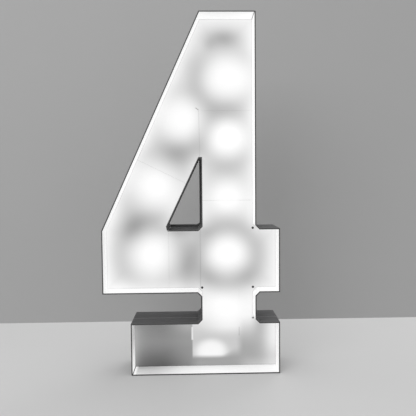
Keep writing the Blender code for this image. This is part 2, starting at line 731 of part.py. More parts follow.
# Inner channel: two upright boards and a floor between them

def build_channel(material):
    front = DIFFUSER_BACK_Y + GAP
    back = PANEL_INNER_Y - GAP
    half = SHEET / 2
    foot_top = FOOT_HEIGHT - SHEET - GAP
    bottom = CHANNEL_FLOOR_Z - SHEET
    notch_low, notch_high = CHANNEL_FLOOR_Z, CHANNEL_FLOOR_Z + NOTCH_HEIGHT
    left_profile = [
        (front, bottom), (back, bottom), (back, notch_low), (back - NOTCH_DEPTH, notch_low),
        (back - NOTCH_DEPTH, notch_high), (back, notch_high), (back, foot_top), (front, foot_top),
    ]
    mesh = bmesh.new()
    add_prism(mesh, [left_profile], "X", CHANNEL_LEFT_X - half, CHANNEL_LEFT_X + half)
    make_node("channel_left_board", mesh, material)

    mesh = bmesh.new()
    add_prism(mesh, [rectangle(front, bottom, back, CROSSBAR_BOTTOM_Z)], "X",
              CHANNEL_RIGHT_X - half, CHANNEL_RIGHT_X + half)
    make_node("channel_right_board", mesh, material)

    mesh = bmesh.new()
    add_box(mesh, (CHANNEL_LEFT_X + half + GAP, front, bottom),
            (CHANNEL_RIGHT_X - half - GAP, back, CHANNEL_FLOOR_Z))
    make_node("channel_floor_board", mesh, material)


# Service hatch

def leaf_section(side, angle_steps):
    """A hinge leaf with its knuckle, in plan: side is 1 for the door's leaf, -1 for the other."""
    low = PANEL_OUTER_Y + GAP
    top = low + LEAF_THICKNESS
    meet = math.sqrt(KNUCKLE_RADIUS ** 2 - (KNUCKLE_RADIUS - LEAF_THICKNESS) ** 2)
    start = math.atan2(LEAF_THICKNESS - KNUCKLE_RADIUS, meet)
    sweep = 3 * math.pi / 2 - start
    points = [(HINGE_AXIS_X + side * LEAF_WIDTH, low), (HINGE_AXIS_X + side * LEAF_WIDTH, top)]
    for i in range(angle_steps + 1):
        angle = start + sweep * i / angle_steps
        points.append((HINGE_AXIS_X + side * KNUCKLE_RADIUS * math.cos(angle),
                       HINGE_AXIS_Y + KNUCKLE_RADIUS * math.sin(angle)))
    return points


def hinge_leaf(name, side, material, origin):
    """Extrudes the section, and cuts clear of the other leaf's knuckles."""
    middle_z = HATCH_BOTTOM_Z + HATCH_HEIGHT / 2
    bottom = middle_z - LEAF_HEIGHT / 2
    step = LEAF_HEIGHT / KNUCKLE_COUNT
    bore = circle((HINGE_AXIS_X, HINGE_AXIS_Y), PIN_RADIUS + GAP, HINGE_SIDES)
    mesh = bmesh.new()
    add_prism(mesh, [leaf_section(side, HINGE_SIDES), bore], "Z", bottom, bottom + LEAF_HEIGHT)
    leaf = make_node(name, mesh, material, origin, smooth=True)

    mesh = bmesh.new()
    reach = KNUCKLE_RADIUS + GAP
    for i in range(KNUCKLE_COUNT):
        if (i % 2 == 1) == (side > 0):
            continue
        low = bottom + i * step - (GAP / 2 if i else OVERRUN)
        high = bottom + (i + 1) * step + (GAP / 2 if i < KNUCKLE_COUNT - 1 else OVERRUN)
        add_box(mesh, (HINGE_AXIS_X - reach, PANEL_OUTER_Y - OVERRUN, low),
                (HINGE_AXIS_X + reach, HINGE_AXIS_Y + reach, high))
    cutter = make_node(name + "_cutter", mesh, material)
    cutter.hide_render = True
    cutter.display_type = "WIRE"
    cut = leaf.modifiers.new("knuckle_gaps", "BOOLEAN")
    cut.operation = "DIFFERENCE"
    cut.object = cutter


def build_hatch(door_material, metal, magnet_material, knob_material):
    origin = (HINGE_AXIS_X, HINGE_AXIS_Y, HATCH_BOTTOM_Z + HATCH_HEIGHT / 2)
    left = HATCH_LEFT_X + HATCH_CLEARANCE
    right = HATCH_LEFT_X + HATCH_WIDTH - HATCH_CLEARANCE
    bottom = HATCH_BOTTOM_Z + HATCH_CLEARANCE
    top = HATCH_BOTTOM_Z + HATCH_HEIGHT - HATCH_CLEARANCE
    rebate = STRIKE_THICKNESS + GAP
    section = [
        (left, PANEL_INNER_Y), (right - STRIKE_WIDTH - GAP, PANEL_INNER_Y),
        (right - STRIKE_WIDTH - GAP, PANEL_INNER_Y + rebate), (right, PANEL_INNER_Y + rebate),
        (right, PANEL_OUTER_Y), (left, PANEL_OUTER_Y),
    ]
    mesh = bmesh.new()
    add_prism(mesh, [section], "Z", bottom, top)
    make_node("hatch_door", mesh, door_material, origin)

    middle_z = HATCH_BOTTOM_Z + HATCH_HEIGHT / 2
    mesh = bmesh.new()
    add_box(mesh, (right - STRIKE_WIDTH, PANEL_INNER_Y, middle_z - STRIKE_LENGTH / 2),
            (right, PANEL_INNER_Y + STRIKE_THICKNESS, middle_z + STRIKE_LENGTH / 2))
    make_node("hatch_strike", mesh, metal, origin)

    edge = HATCH_LEFT_X + HATCH_WIDTH
    mesh = bmesh.new()
    add_box(mesh, (edge - MAGNET_WIDTH / 2, PANEL_INNER_Y - GAP - MAGNET_THICKNESS,
                   middle_z - STRIKE_LENGTH / 2),
            (edge + MAGNET_WIDTH / 2, PANEL_INNER_Y - GAP, middle_z + STRIKE_LENGTH / 2))
    make_node("hatch_magnet", mesh, magnet_material)

    mesh = bmesh.new()
    knob_profile = [
        (0, 0), (KNOB_NECK_RADIUS, 0), (KNOB_NECK_RADIUS, KNOB_NECK),
        (KNOB_RADIUS, KNOB_NECK + GAP * 2), (KNOB_RADIUS, KNOB_HEIGHT - GAP * 3),
        (KNOB_RADIUS * KNOB_TOP_SHARE, KNOB_HEIGHT), (0, KNOB_HEIGHT),
    ]
    add_turned(mesh, knob_profile, (right - KNOB_FROM_EDGE, PANEL_OUTER_Y + GAP, middle_z),
               (0, 1, 0), LAMP_SIDES)
    make_node("hatch_knob", mesh, knob_material, origin, smooth=True)

    hinge_leaf("hatch_fixed_leaf", -1, metal, (0, 0, 0))
    hinge_leaf("hatch_door_leaf", 1, metal, origin)
    half = LEAF_HEIGHT / 2
    profile = [(0, -half), (PIN_RADIUS, -half), (PIN_RADIUS, half), (0, half)]
    mesh = bmesh.new()
    add_turned(mesh, profile, (HINGE_AXIS_X, HINGE_AXIS_Y, middle_z), (0, 0, 1), HINGE_SIDES)
    make_node("hatch_hinge_pin", mesh, metal, smooth=True)


# Rocker switch and power inlet

def build_switch(housing_material, rocker_material):
    base = PANEL_OUTER_Y + GAP
    top = base + SWITCH_FLANGE
    pivot_y = top - ROCKER_PIVOT_BELOW
    inner_x = SWITCH_HALF_WIDTH - SWITCH_WALL
    inner_z = SWITCH_HALF_HEIGHT - SWITCH_WALL
    reach = inner_z - ROCKER_CLEARANCE
    deepest = reach * math.sin(-ROCKER_BOTTOM_ANGLE + ROCKER_TILT)
    floor = pivot_y - deepest - ROCKER_FLOOR_CLEARANCE
    mesh = bmesh.new()
    add_stepped(mesh, (CONTROLS_X, SWITCH_Z), [
        (inner_x, inner_z, floor),
        (inner_x, inner_z, top),
        (SWITCH_HALF_WIDTH + SWITCH_LIP, SWITCH_HALF_HEIGHT + SWITCH_LIP, top),
        (SWITCH_HALF_WIDTH + SWITCH_LIP, SWITCH_HALF_HEIGHT + SWITCH_LIP, base),
        (SWITCH_HALF_WIDTH, SWITCH_HALF_HEIGHT, base),
        (SWITCH_HALF_WIDTH, SWITCH_HALF_HEIGHT, base - SWITCH_BODY_DEPTH),
    ])
    make_node("switch_housing", mesh, housing_material)

    profile = []
    for sign in (1, -1):
        start, end = (ROCKER_BOTTOM_ANGLE, ROCKER_TOP_ANGLE)[::sign]
        for i in range(ROCKER_ARC_STEPS + 1):
            angle = start + (end - start) * i / ROCKER_ARC_STEPS
            profile.append((reach * math.sin(angle), sign * reach * math.cos(angle)))
        if sign > 0:
            profile.append((ROCKER_VALLEY, 0))
    mesh = bmesh.new()
    half = inner_x - GAP
    add_prism(mesh, [profile], "X", -half, half)
    pivot = (CONTROLS_X, pivot_y, SWITCH_Z)
    bmesh.ops.rotate(mesh, verts=mesh.verts, cent=(0, 0, 0),
                     matrix=Matrix.Rotation(ROCKER_TILT, 3, "X"))
    bmesh.ops.translate(mesh, verts=mesh.verts, vec=pivot)
    make_node("switch_rocker", mesh, rocker_material, pivot)


def build_inlet(body_material, metal):
    origin = (CONTROLS_X, PANEL_OUTER_Y + GAP, INLET_Z)
    outward = (0, 1, 0)
    floor = SWITCH_FLANGE - INLET_BORE_DEPTH
    profile = [
        (0, floor + INLET_PIN_LENGTH), (INLET_PIN_RADIUS, floor + INLET_PIN_LENGTH),
        (INLET_PIN_RADIUS, floor), (INLET_BORE, floor),
        (INLET_BORE, SWITCH_FLANGE), (INLET_FLANGE_RADIUS, SWITCH_FLANGE),
        (INLET_FLANGE_RADIUS, 0), (INLET_RADIUS, 0), (INLET_RADIUS, -INLET_LENGTH),
        (0, -INLET_LENGTH),
    ]
    mesh = bmesh.new()
    add_turned(mesh, profile, origin, outward, LAMP_SIDES)
    make_node("power_inlet", mesh, body_material, smooth=True)

    mesh = bmesh.new()
    centre = (CONTROLS_X, INLET_Z)
    back = PANEL_INNER_Y - GAP
    loops = [circle(centre, NUT_RADIUS, NUT_SIDES), circle(centre, INLET_RADIUS + GAP, LAMP_SIDES)]
    add_prism(mesh, loops, "Y", back - NUT_THICKNESS, back)
    make_node("power_inlet_nut", mesh, metal)


# Driver box on the floor of the foot

def build_driver_box(case_material, board_material, part_material):
    back = PANEL_INNER_Y - BOX_FROM_PANEL
    front = back - BOX_DEPTH
    bottom = SHEET + GAP
    centre = (BOX_LEFT_X + BOX_WIDTH / 2, bottom + BOX_HEIGHT / 2)
    half_width, half_height = BOX_WIDTH / 2, BOX_HEIGHT / 2
    rim = back - BOX_WALL - GAP
    mesh = bmesh.new()
    add_stepped(mesh, centre, [
        (half_width - BOX_WALL, half_height - BOX_WALL, front + BOX_WALL),
        (half_width - BOX_WALL, half_height - BOX_WALL, rim),
        (half_width, half_height, rim),
        (half_width, half_height, front),
    ])
    make_node("driver_box", mesh, case_material)

    mesh = bmesh.new()
    add_box(mesh, (centre[0] - half_width, back - BOX_WALL, bottom),
            (centre[0] + half_width, back, bottom + BOX_HEIGHT))
    make_node("driver_box_lid", mesh, case_material)

    board_half_x = half_width - BOX_WALL - BOARD_CLEARANCE
    board_half_z = half_height - BOX_WALL - BOARD_CLEARANCE
    board_front = front + BOX_WALL + GAP
    board_back = board_front + BOARD_THICKNESS
    mesh = bmesh.new()
    add_box(mesh, (centre[0] - board_half_x, board_front, centre[1] - board_half_z),
            (centre[0] + board_half_x, board_back, centre[1] + board_half_z))
    make_node("driver_board", mesh, board_material)

    mesh = bmesh.new()
    coil_half = COIL_WIDTH / 2
    add_box(mesh, (centre[0] - coil_half, board_back + GAP, centre[1] - coil_half),
            (centre[0] + coil_half, board_back + GAP + COIL_HEIGHT, centre[1] + coil_half))
    make_node("driver_transformer", mesh, part_material)


def build_number():
    start_scene()
    white_sheet = plain_material("white_sheet", (0.82, 0.82, 0.80), 0.55)
    back_sheet = plain_material("back_sheet", (0.74, 0.74, 0.72), 0.6)
    opal = plain_material("opal_sheet", (0.86, 0.86, 0.85), 0.4)
    board = plain_material("inner_board", (0.80, 0.80, 0.78), 0.7)
    wood = plain_material("batten_wood", (0.72, 0.58, 0.40), 0.75)
    holder = plain_material("holder_plastic", (0.10, 0.10, 0.10), 0.45)
    glass = plain_material("frosted_glass", (0.95, 0.93, 0.90), 0.35)
    steel = plain_material("zinc_steel", (0.60, 0.60, 0.60), 0.35, metallic=1.0)
    lead = plain_material("lead_jacket", (0.85, 0.85, 0.84), 0.5)
    black = plain_material("black_plastic", (0.03, 0.03, 0.03), 0.4)
    magnet = plain_material("magnet_strip", (0.06, 0.05, 0.05), 0.8)
    green = plain_material("circuit_board", (0.02, 0.16, 0.08), 0.4)
    knob = plain_material("knob_plastic", (0.80, 0.80, 0.79), 0.3)

    places = lamp_places()
    screws = screw_places()
    build_strips(white_sheet)
    build_diffuser(opal)
    build_back_panel(screws, back_sheet, board)
    build_battens(screws, wood, steel)
    build_channel(board)
    build_lamps(places, holder, glass)
    build_leads(places, lead)
    build_hatch(back_sheet, steel, magnet, knob)
    build_switch(black, black)
    build_inlet(black, steel)
    build_driver_box(black, green, holder)


build_number()
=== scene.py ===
# Looks for the light up marquee number: a lit figure 4 in folded sheet, on a plain floor
import math

import bpy
from mathutils import Matrix, Vector


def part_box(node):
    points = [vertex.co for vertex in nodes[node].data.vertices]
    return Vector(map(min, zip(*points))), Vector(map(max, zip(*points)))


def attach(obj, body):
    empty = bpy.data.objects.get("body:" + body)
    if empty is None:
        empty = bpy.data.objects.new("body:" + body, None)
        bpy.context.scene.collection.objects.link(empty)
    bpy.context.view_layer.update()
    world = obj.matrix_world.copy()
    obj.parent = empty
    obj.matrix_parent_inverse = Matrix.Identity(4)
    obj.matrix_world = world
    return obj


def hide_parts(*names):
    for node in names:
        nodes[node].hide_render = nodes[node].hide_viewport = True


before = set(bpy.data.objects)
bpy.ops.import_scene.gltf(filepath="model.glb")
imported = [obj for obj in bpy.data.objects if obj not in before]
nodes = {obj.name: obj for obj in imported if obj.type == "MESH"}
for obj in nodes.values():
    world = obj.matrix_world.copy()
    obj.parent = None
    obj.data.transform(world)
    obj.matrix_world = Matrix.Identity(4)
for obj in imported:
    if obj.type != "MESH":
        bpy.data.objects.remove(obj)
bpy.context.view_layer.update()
print("frame loaded with", len(nodes), "nodes")


# Camera, where the photographer stood

view = {
    "place": (0.0218, -1.5992, 0.6356),
    "yaw": -0.0231,
    "pitch": -0.0494,
    "roll": 0.0085,
    "lens": 39.99,
    "sensor": 36.0,
}


def placeCamera():
    camera = bpy.data.objects.new("frontCamera", bpy.data.cameras.new("frontCamera"))
    bpy.context.scene.collection.objects.link(camera)
    camera.data.lens = view["lens"]
    camera.data.sensor_width = view["sensor"]
    turn = (Matrix.Rotation(view["yaw"], 4, "Z") @ Matrix.Rotation(view["pitch"], 4, "X")
            @ Matrix.Rotation(view["roll"], 4, "Y") @ Matrix.Rotation(math.pi / 2, 4, "X"))
    camera.matrix_world = Matrix.Translation(view["place"]) @ turn
    bpy.context.scene.camera = camera
    bpy.context.scene.view_settings.view_transform = "Standard"


placeCamera()
print("camera placed")


# The figure's outer and inner outlines, as (x, z), counter-clockwise
figure = {
    "outline": [
        (-0.204, 0), (0.296, 0), (0.296, 0.175), (0.229, 0.175), (0.217, 0.187),
        (0.217, 0.264), (0.229, 0.276), (0.296, 0.276), (0.296, 0.491), (0.229, 0.491),
        (0.217, 0.503), (0.217, 1.2), (0.031, 1.2), (-0.296, 0.487), (-0.296, 0.276),
        (0.020, 0.276), (0.032, 0.264), (0.032, 0.187), (0.020, 0.175), (-0.204, 0.175),
    ],
    "hole": [
        (-0.0757, 0.4875), (0.0228, 0.4875), (0.0348, 0.4995), (0.0348, 0.7244),
        (0.0288, 0.7244), (-0.0785, 0.4995),
    ],
    "sheet": 0.004,
    "faceY": -0.007,
    "frontY": -0.075,
    "backY": 0.075,
    "legSide": slice(12, 14),    # the two ends of the leaning side in the outline
}
inPlane = (1, 0, 1)          # drops the depth of a place on the figure
forward, backward = (0, -1, 0), (0, 1, 0)


def insidePoints(points, x, z):
    inside = False
    for i, (endX, endZ) in enumerate(points):
        startX, startZ = points[i - 1]
        if (startZ > z) == (endZ > z):
            continue
        if x < startX + (endX - startX) * (z - startZ) / (endZ - startZ):
            inside = not inside
    return inside


def insideFigure(x, z):
    return insidePoints(figure["outline"], x, z) and not insidePoints(figure["hole"], x, z)


# Modelling by operators

def deselectAll():
    bpy.ops.object.select_all(action="DESELECT")


def makeActive(item):
    deselectAll()
    item.select_set(True)
    bpy.context.view_layer.objects.active = item


def editAll(item):
    makeActive(item)
    bpy.ops.object.mode_set(mode="EDIT")
    bpy.ops.mesh.select_mode(type="FACE")
    bpy.ops.mesh.select_all(action="SELECT")


def stopEdit():
    bpy.ops.object.mode_set(mode="OBJECT")


def pickFaces(item, test):
    # test(centre, normal) says which faces the next operators work on
    stopEdit()
    for part in (item.data.vertices, item.data.edges, item.data.polygons):
        part.foreach_set("select", [False] * len(part))
    for face in item.data.polygons:
        face.select = test(face.center, face.normal)
    bpy.ops.object.mode_set(mode="EDIT")


def modify(item, kind, **settings):
    # puts a modifier on a piece and applies it
    makeActive(item)
    modifier = item.modifiers.new(kind.title(), kind)
    for label, value in settings.items():
        setattr(modifier, label, value)
    bpy.ops.object.modifier_apply(modifier=modifier.name)


def roundEdges(item, width, segments=2, foldAngle=30):
    modify(item, "BEVEL", width=width, segments=segments, limit_method="ANGLE",
           angle_limit=math.radians(foldAngle))


def turned(name, profile, sides=32):
    # profile runs from the base upwards as (radius, height)
    deselectAll()
    radius, height = profile[0]
    bpy.ops.mesh.primitive_circle_add(vertices=sides, radius=radius, fill_type="NGON",
                                      location=(0, 0, height))
    item = bpy.context.object
    item.name = item.data.name = name
    bpy.ops.object.transform_apply(location=True, rotation=False, scale=False)
    editAll(item)
    for nextRadius, nextHeight in profile[1:]:
        bpy.ops.mesh.extrude_region_move(
            TRANSFORM_OT_translate={"value": (0, 0, nextHeight - height)})
        share = nextRadius / radius
        bpy.ops.transform.resize(value=(share, share, 1), center_override=(0, 0, nextHeight))
        radius, height = nextRadius, nextHeight
    bpy.ops.mesh.select_all(action="SELECT")
    bpy.ops.mesh.normals_make_consistent(inside=False)
    stopEdit()
    return item


def block(name, low, high, bevel, segments=2):
    deselectAll()
    middle = [(a + b) / 2 for a, b in zip(low, high)]
    bpy.ops.mesh.primitive_cube_add(size=1, location=middle)
    item = bpy.context.object
    item.name = item.data.name = name
    item.scale = [b - a for a, b in zip(low, high)]
    bpy.ops.object.transform_apply(location=True, rotation=True, scale=True)
    roundEdges(item, bevel, segments)
    return item


def joined(items, name):
    makeActive(items[0])
    for item in items:
        item.select_set(True)
    bpy.ops.object.join()
    items[0].name = items[0].data.name = name
    return items[0]


def copied(item, name, place):
    # a copy with its own mesh, put in place in the mesh itself
    made = bpy.data.objects.new(name, item.data.copy())
    made.data.name = name
    bpy.context.scene.collection.objects.link(made)
    made.data.transform(place)
    return made


def facing(direction, origin):
    # puts a piece that was turned along +Z where it belongs
    return Matrix.Translation(origin) @ Vector((0, 0, 1)).rotation_difference(
        Vector(direction)).to_matrix().to_4x4()


def fromNode(nodeName, name):
    # a merged copy of a CAD node, as the start of a finer piece
    item = bpy.data.objects.new(name, nodes[nodeName].data.copy())
    item.data.name = name
    bpy.context.scene.collection.objects.link(item)
    makeActive(item)
    bpy.ops.mesh.customdata_custom_splitnormals_clear()
    editAll(item)
    bpy.ops.mesh.remove_doubles(threshold=0.00001)
    bpy.ops.mesh.dissolve_limited(angle_limit=math.radians(1))
    stopEdit()
    return item


def dress(item, *names, smooth=None):
    # gives a piece its finishes, and smooths its faces up to an angle
    item.data.materials.clear()
    for name in names:
        item.data.materials.append(finishes[name])
    if smooth:
        makeActive(item)
        bpy.ops.object.shade_smooth_by_angle(angle=math.radians(smooth))


def own(item, body, slot, *replaced):
    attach(item, body)
    if replaced:
        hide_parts(*replaced)


def fit(item, name, direction, point, *ownership):
    own(copied(item, name, facing(direction, point)), *ownership)


def discard(*items):
    for item in items:
        bpy.data.objects.remove(item, do_unlink=True)


# Shader building

def feed(socket, value):
    if isinstance(value, bpy.types.NodeSocket):
        socket.id_data.links.new(value, socket)
    else:
        socket.default_value = value


def feedAll(inputs, values):
    for label, value in values.items():
        feed(inputs[label], value)


def nodeBeside(kind, *values):
    # a new node in the tree of the first socket among the values
    socket = next(value for value in values if isinstance(value, bpy.types.NodeSocket))
    return socket.id_data.nodes.new(kind)


def calc(kind, *values, clamp=False):
    node = nodeBeside("ShaderNodeMath", *values)
    node.operation = kind
    node.use_clamp = clamp
    feedAll(node.inputs, dict(enumerate(values)))
    return node.outputs[0]


def vectorCalc(kind, *values):
    node = nodeBeside("ShaderNodeVectorMath", *values)
    node.operation = kind
    feedAll(node.inputs, dict(enumerate(values)))
    return node.outputs["Value" if kind in ("DOT_PRODUCT", "LENGTH") else "Vector"]


def rise(value, low, high, toLow=0.0, toHigh=1.0):
    # a soft step of value from low to high
    node = nodeBeside("ShaderNodeMapRange", value)
    node.interpolation_type = "SMOOTHSTEP"
    feedAll(node.inputs, {"Value": value, "From Min": low, "From Max": high,
                          "To Min": toLow, "To Max": toHigh})
    return node.outputs["Result"]


def noise(place, scale, detail=3.0, roughness=0.5):
    node = nodeBeside("ShaderNodeTexNoise", place)
    feedAll(node.inputs, {"Vector": place, "Scale": scale, "Detail": detail,
                          "Roughness": roughness})
    return node.outputs["Fac"]


def tint(first, second, share):
    node = nodeBeside("ShaderNodeMix", share)
    node.data_type = "RGBA"
    # inputs 6 and 7 are a Mix node's pair of colours
    feedAll(node.inputs, {"Factor": share, 6: first, 7: second})
    return node.outputs[2]


def minus(value, other):
    return calc("SUBTRACT", value, other)


def apart(value, other):
    return calc("ABSOLUTE", minus(value, other))


def product(*values):
    total = values[0]
    for value in values[1:]:
        total = calc("MULTIPLY", total, value)
    return total


def addUp(*values):
    total = values[0]
    for value in values[1:]:
        total = calc("ADD", total, value)
    return total


def towards(value, other, share):
    return addUp(value, product(share, minus(other, value)))


def stepAt(value, place, before, past):
    # a soft step that starts before a place and ends past it
    return rise(value, place - before, place + past)


def fallOff(distance, reach, power=1.0):
    # 1 at no distance, and close to 0 past the reach
    scaled = calc("DIVIDE", distance, reach)
    if power != 1.0:
        scaled = calc("POWER", scaled, power)
    return calc("EXPONENT", product(scaled, -1.0))


def grey(value):
    node = nodeBeside("ShaderNodeCombineColor", value)
    feedAll(node.inputs, {"Red": value, "Green": value, "Blue": value})
    return node.outputs[0]


def axisParts(place):
    node = nodeBeside("ShaderNodeSeparateXYZ", place)
    feed(node.inputs[0], place)
    return node.outputs


def startGroup(name, inputs, outputs):
    group = bpy.data.node_groups.new(name, "ShaderNodeTree")
    for label, kind in inputs.items():
        group.interface.new_socket(name=label, in_out="INPUT", socket_type="NodeSocket" + kind)
    for label, kind in outputs.items():
        group.interface.new_socket(name=label, in_out="OUTPUT", socket_type="NodeSocket" + kind)
    given = group.nodes.new("NodeGroupInput").outputs
    wanted = group.nodes.new("NodeGroupOutput").inputs
    return group, given, wanted


def endGroup(group, wanted, **values):
    feedAll(wanted, values)
    return group


def placeGroup(group, **values):
    node = nodeBeside("ShaderNodeGroup", *values.values())
    node.node_tree = group
    feedAll(node.inputs, values)
    return node.outputs


def startMaterial(name, roughness=0.5, metallic=0.0):
    material = bpy.data.materials.new(name)
    material.use_nodes = True
    tree = material.node_tree
    shader = tree.nodes["Principled BSDF"]
    feedAll(shader.inputs, {"Roughness": roughness, "Metallic": metallic})
    place = tree.nodes.new("ShaderNodeTexCoord").outputs["Object"]
    return material, shader, place


def bump(shader, height, strength, distance):
    node = nodeBeside("ShaderNodeBump", height)
    feedAll(node.inputs, {"Strength": strength, "Distance": distance, "Height": height})
    feed(shader.inputs["Normal"], node.outputs["Normal"])


# Effects that several finishes share

def makeSoftSpot():
    # light or shade that falls off round a centre in the plane of the figure
    group, given, wanted = startGroup(
        "softSpot",
        {"Place": "Vector", "Centre": "Vector", "Size": "Vector", "Falloff": "Float",
         "Power": "Float"},
        {"Light": "Float"})
    away = vectorCalc("SUBTRACT", given["Place"], given["Centre"])
    away = vectorCalc("DIVIDE", away, given["Size"])
    away = vectorCalc("LENGTH", vectorCalc("MULTIPLY", away, inPlane))
    drop = calc("POWER", away, given["Falloff"])
    fade = calc("EXPONENT", product(drop, -1))
    return endGroup(group, wanted, Light=product(fade, given["Power"]))


def makeLampGlow():
    # a lamp seen through the opal sheet: a soft core, and the dark ring that its holder throws
    group, given, wanted = startGroup(
        "lampGlow",
        {"Place": "Vector", "Lamp": "Vector", "Reach": "Float", "Falloff": "Float",
         "Power": "Float", "RingRadius": "Float", "RingWidth": "Float", "RingDepth": "Float"},
        {"Light": "Float"})
    away = vectorCalc("SUBTRACT", given["Place"], given["Lamp"])
    away = vectorCalc("LENGTH", vectorCalc("MULTIPLY", away, inPlane))
    core = product(fallOff(away, given["Reach"], given["Falloff"]), given["Power"])
    offRing = apart(away, given["RingRadius"])
    ring = product(fallOff(offRing, given["RingWidth"], 2.0), given["RingDepth"])
    return endGroup(group, wanted, Light=minus(core, ring))


def makeLineDistance():
    # distance to a straight line between two points in the plane of the figure
    group, given, wanted = startGroup(
        "lineDistance", {"Place": "Vector", "Start": "Vector", "End": "Vector"},
        {"Distance": "Float"})
    flat = vectorCalc("MULTIPLY", given["Place"], inPlane)
    away = vectorCalc("SUBTRACT", flat, given["Start"])
    line = vectorCalc("SUBTRACT", given["End"], given["Start"])
    share = calc("DIVIDE", vectorCalc("DOT_PRODUCT", away, line),
                 vectorCalc("DOT_PRODUCT", line, line), clamp=True)
    rest = vectorCalc("SUBTRACT", away, vectorCalc("MULTIPLY", line, share))
    return endGroup(group, wanted, Distance=vectorCalc("LENGTH", rest))


coatOutputs = {"Colour": "Color", "Roughness": "Float", "Height": "Float"}
paint = {
    "clouds": (9.0, 4.0),    # scale and detail of each noise
    "specks": (240.0, 2.0),
    "peel": (620.0, 2.0),
    "dustFade": (0.0, 0.16, 1.0, 0.25),  # dust lies low on the figure
    "dustSpecks": (0.52, 0.72),
    "roughness": 0.5,
    "roughnessRange": 0.25,
}


def makePaintedSheet():
    # slight clouding, dust near the floor and a fine orange-peel for coated sheet
    group, given, wanted = startGroup(
        "paintedSheet",
        {"Place": "Vector", "Colour": "Color", "Dust": "Color", "Clouding": "Float",
         "DustAmount": "Float"}, coatOutputs)
    place = given["Place"]
    clouds = minus(noise(place, *paint["clouds"]), 0.5)
    specks = rise(noise(place, *paint["specks"]), *paint["dustSpecks"])
    low = rise(axisParts(place)["Z"], *paint["dustFade"])
    lightness = addUp(1.0, product(clouds, given["Clouding"]))
    plain = vectorCalc("MULTIPLY", given["Colour"], lightness)
    share = calc("MULTIPLY", product(specks, low), given["DustAmount"], clamp=True)
    rough = calc("ADD", paint["roughness"], product(clouds, paint["roughnessRange"]), clamp=True)
    return endGroup(group, wanted, Colour=tint(plain, given["Dust"], share),
                    Roughness=rough, Height=noise(place, *paint["peel"]))


moulding = {
    "rub": (160.0, 4.0),
    "rubEdge": (0.5, 0.75),
    "roughness": 0.34,
    "rubbedRoughness": 0.22,  # what rubbing adds
    "spark": (2600.0, 1.0),
}


def makeMouldedPlastic():
    # fine spark texture and faint rub marks for plastic mouldings
    group, given, wanted = startGroup(
        "mouldedPlastic",
        {"Place": "Vector", "Colour": "Color", "Rubbed": "Color", "Amount": "Float"}, coatOutputs)
    place = given["Place"]
    rub = rise(noise(place, *moulding["rub"]), *moulding["rubEdge"])
    share = calc("MULTIPLY", rub, given["Amount"], clamp=True)
    rough = addUp(moulding["roughness"], product(rub, moulding["rubbedRoughness"]))
    return endGroup(group, wanted, Colour=tint(given["Colour"], given["Rubbed"], share),
                    Roughness=rough, Height=noise(place, *moulding["spark"]))


plating = {
    "scratches": (1.0, 3.0),
    "spots": (420.0, 3.0),
    "spotEdge": (0.48, 0.7),
    "roughness": 0.2,
    "scratchRoughness": 0.25,
    "spotRoughness": 0.15,
}


def makeBrushedMetal():
    # short scratches and dull spots for plated steel
    group, given, wanted = startGroup(
        "brushedMetal",
        {"Place": "Vector", "Stretch": "Vector", "Colour": "Color", "Dull": "Color"}, coatOutputs)
    long = vectorCalc("MULTIPLY", given["Place"], given["Stretch"])
    lines = noise(long, *plating["scratches"])
    spots = rise(noise(given["Place"], *plating["spots"]), *plating["spotEdge"])
    rough = addUp(product(lines, plating["scratchRoughness"]), plating["roughness"],
                  product(spots, plating["spotRoughness"]))
    return endGroup(group, wanted, Colour=tint(given["Colour"], given["Dull"], spots),
                    Roughness=rough, Height=lines)


softSpot = makeSoftSpot()
lampGlow = makeLampGlow()
lineDistance = makeLineDistance()
paintedSheet = makePaintedSheet()
mouldedPlastic = makeMouldedPlastic()
brushedMetal = makeBrushedMetal()
print("shared effects made")


# Light on the translucent face, in the plane of the figure

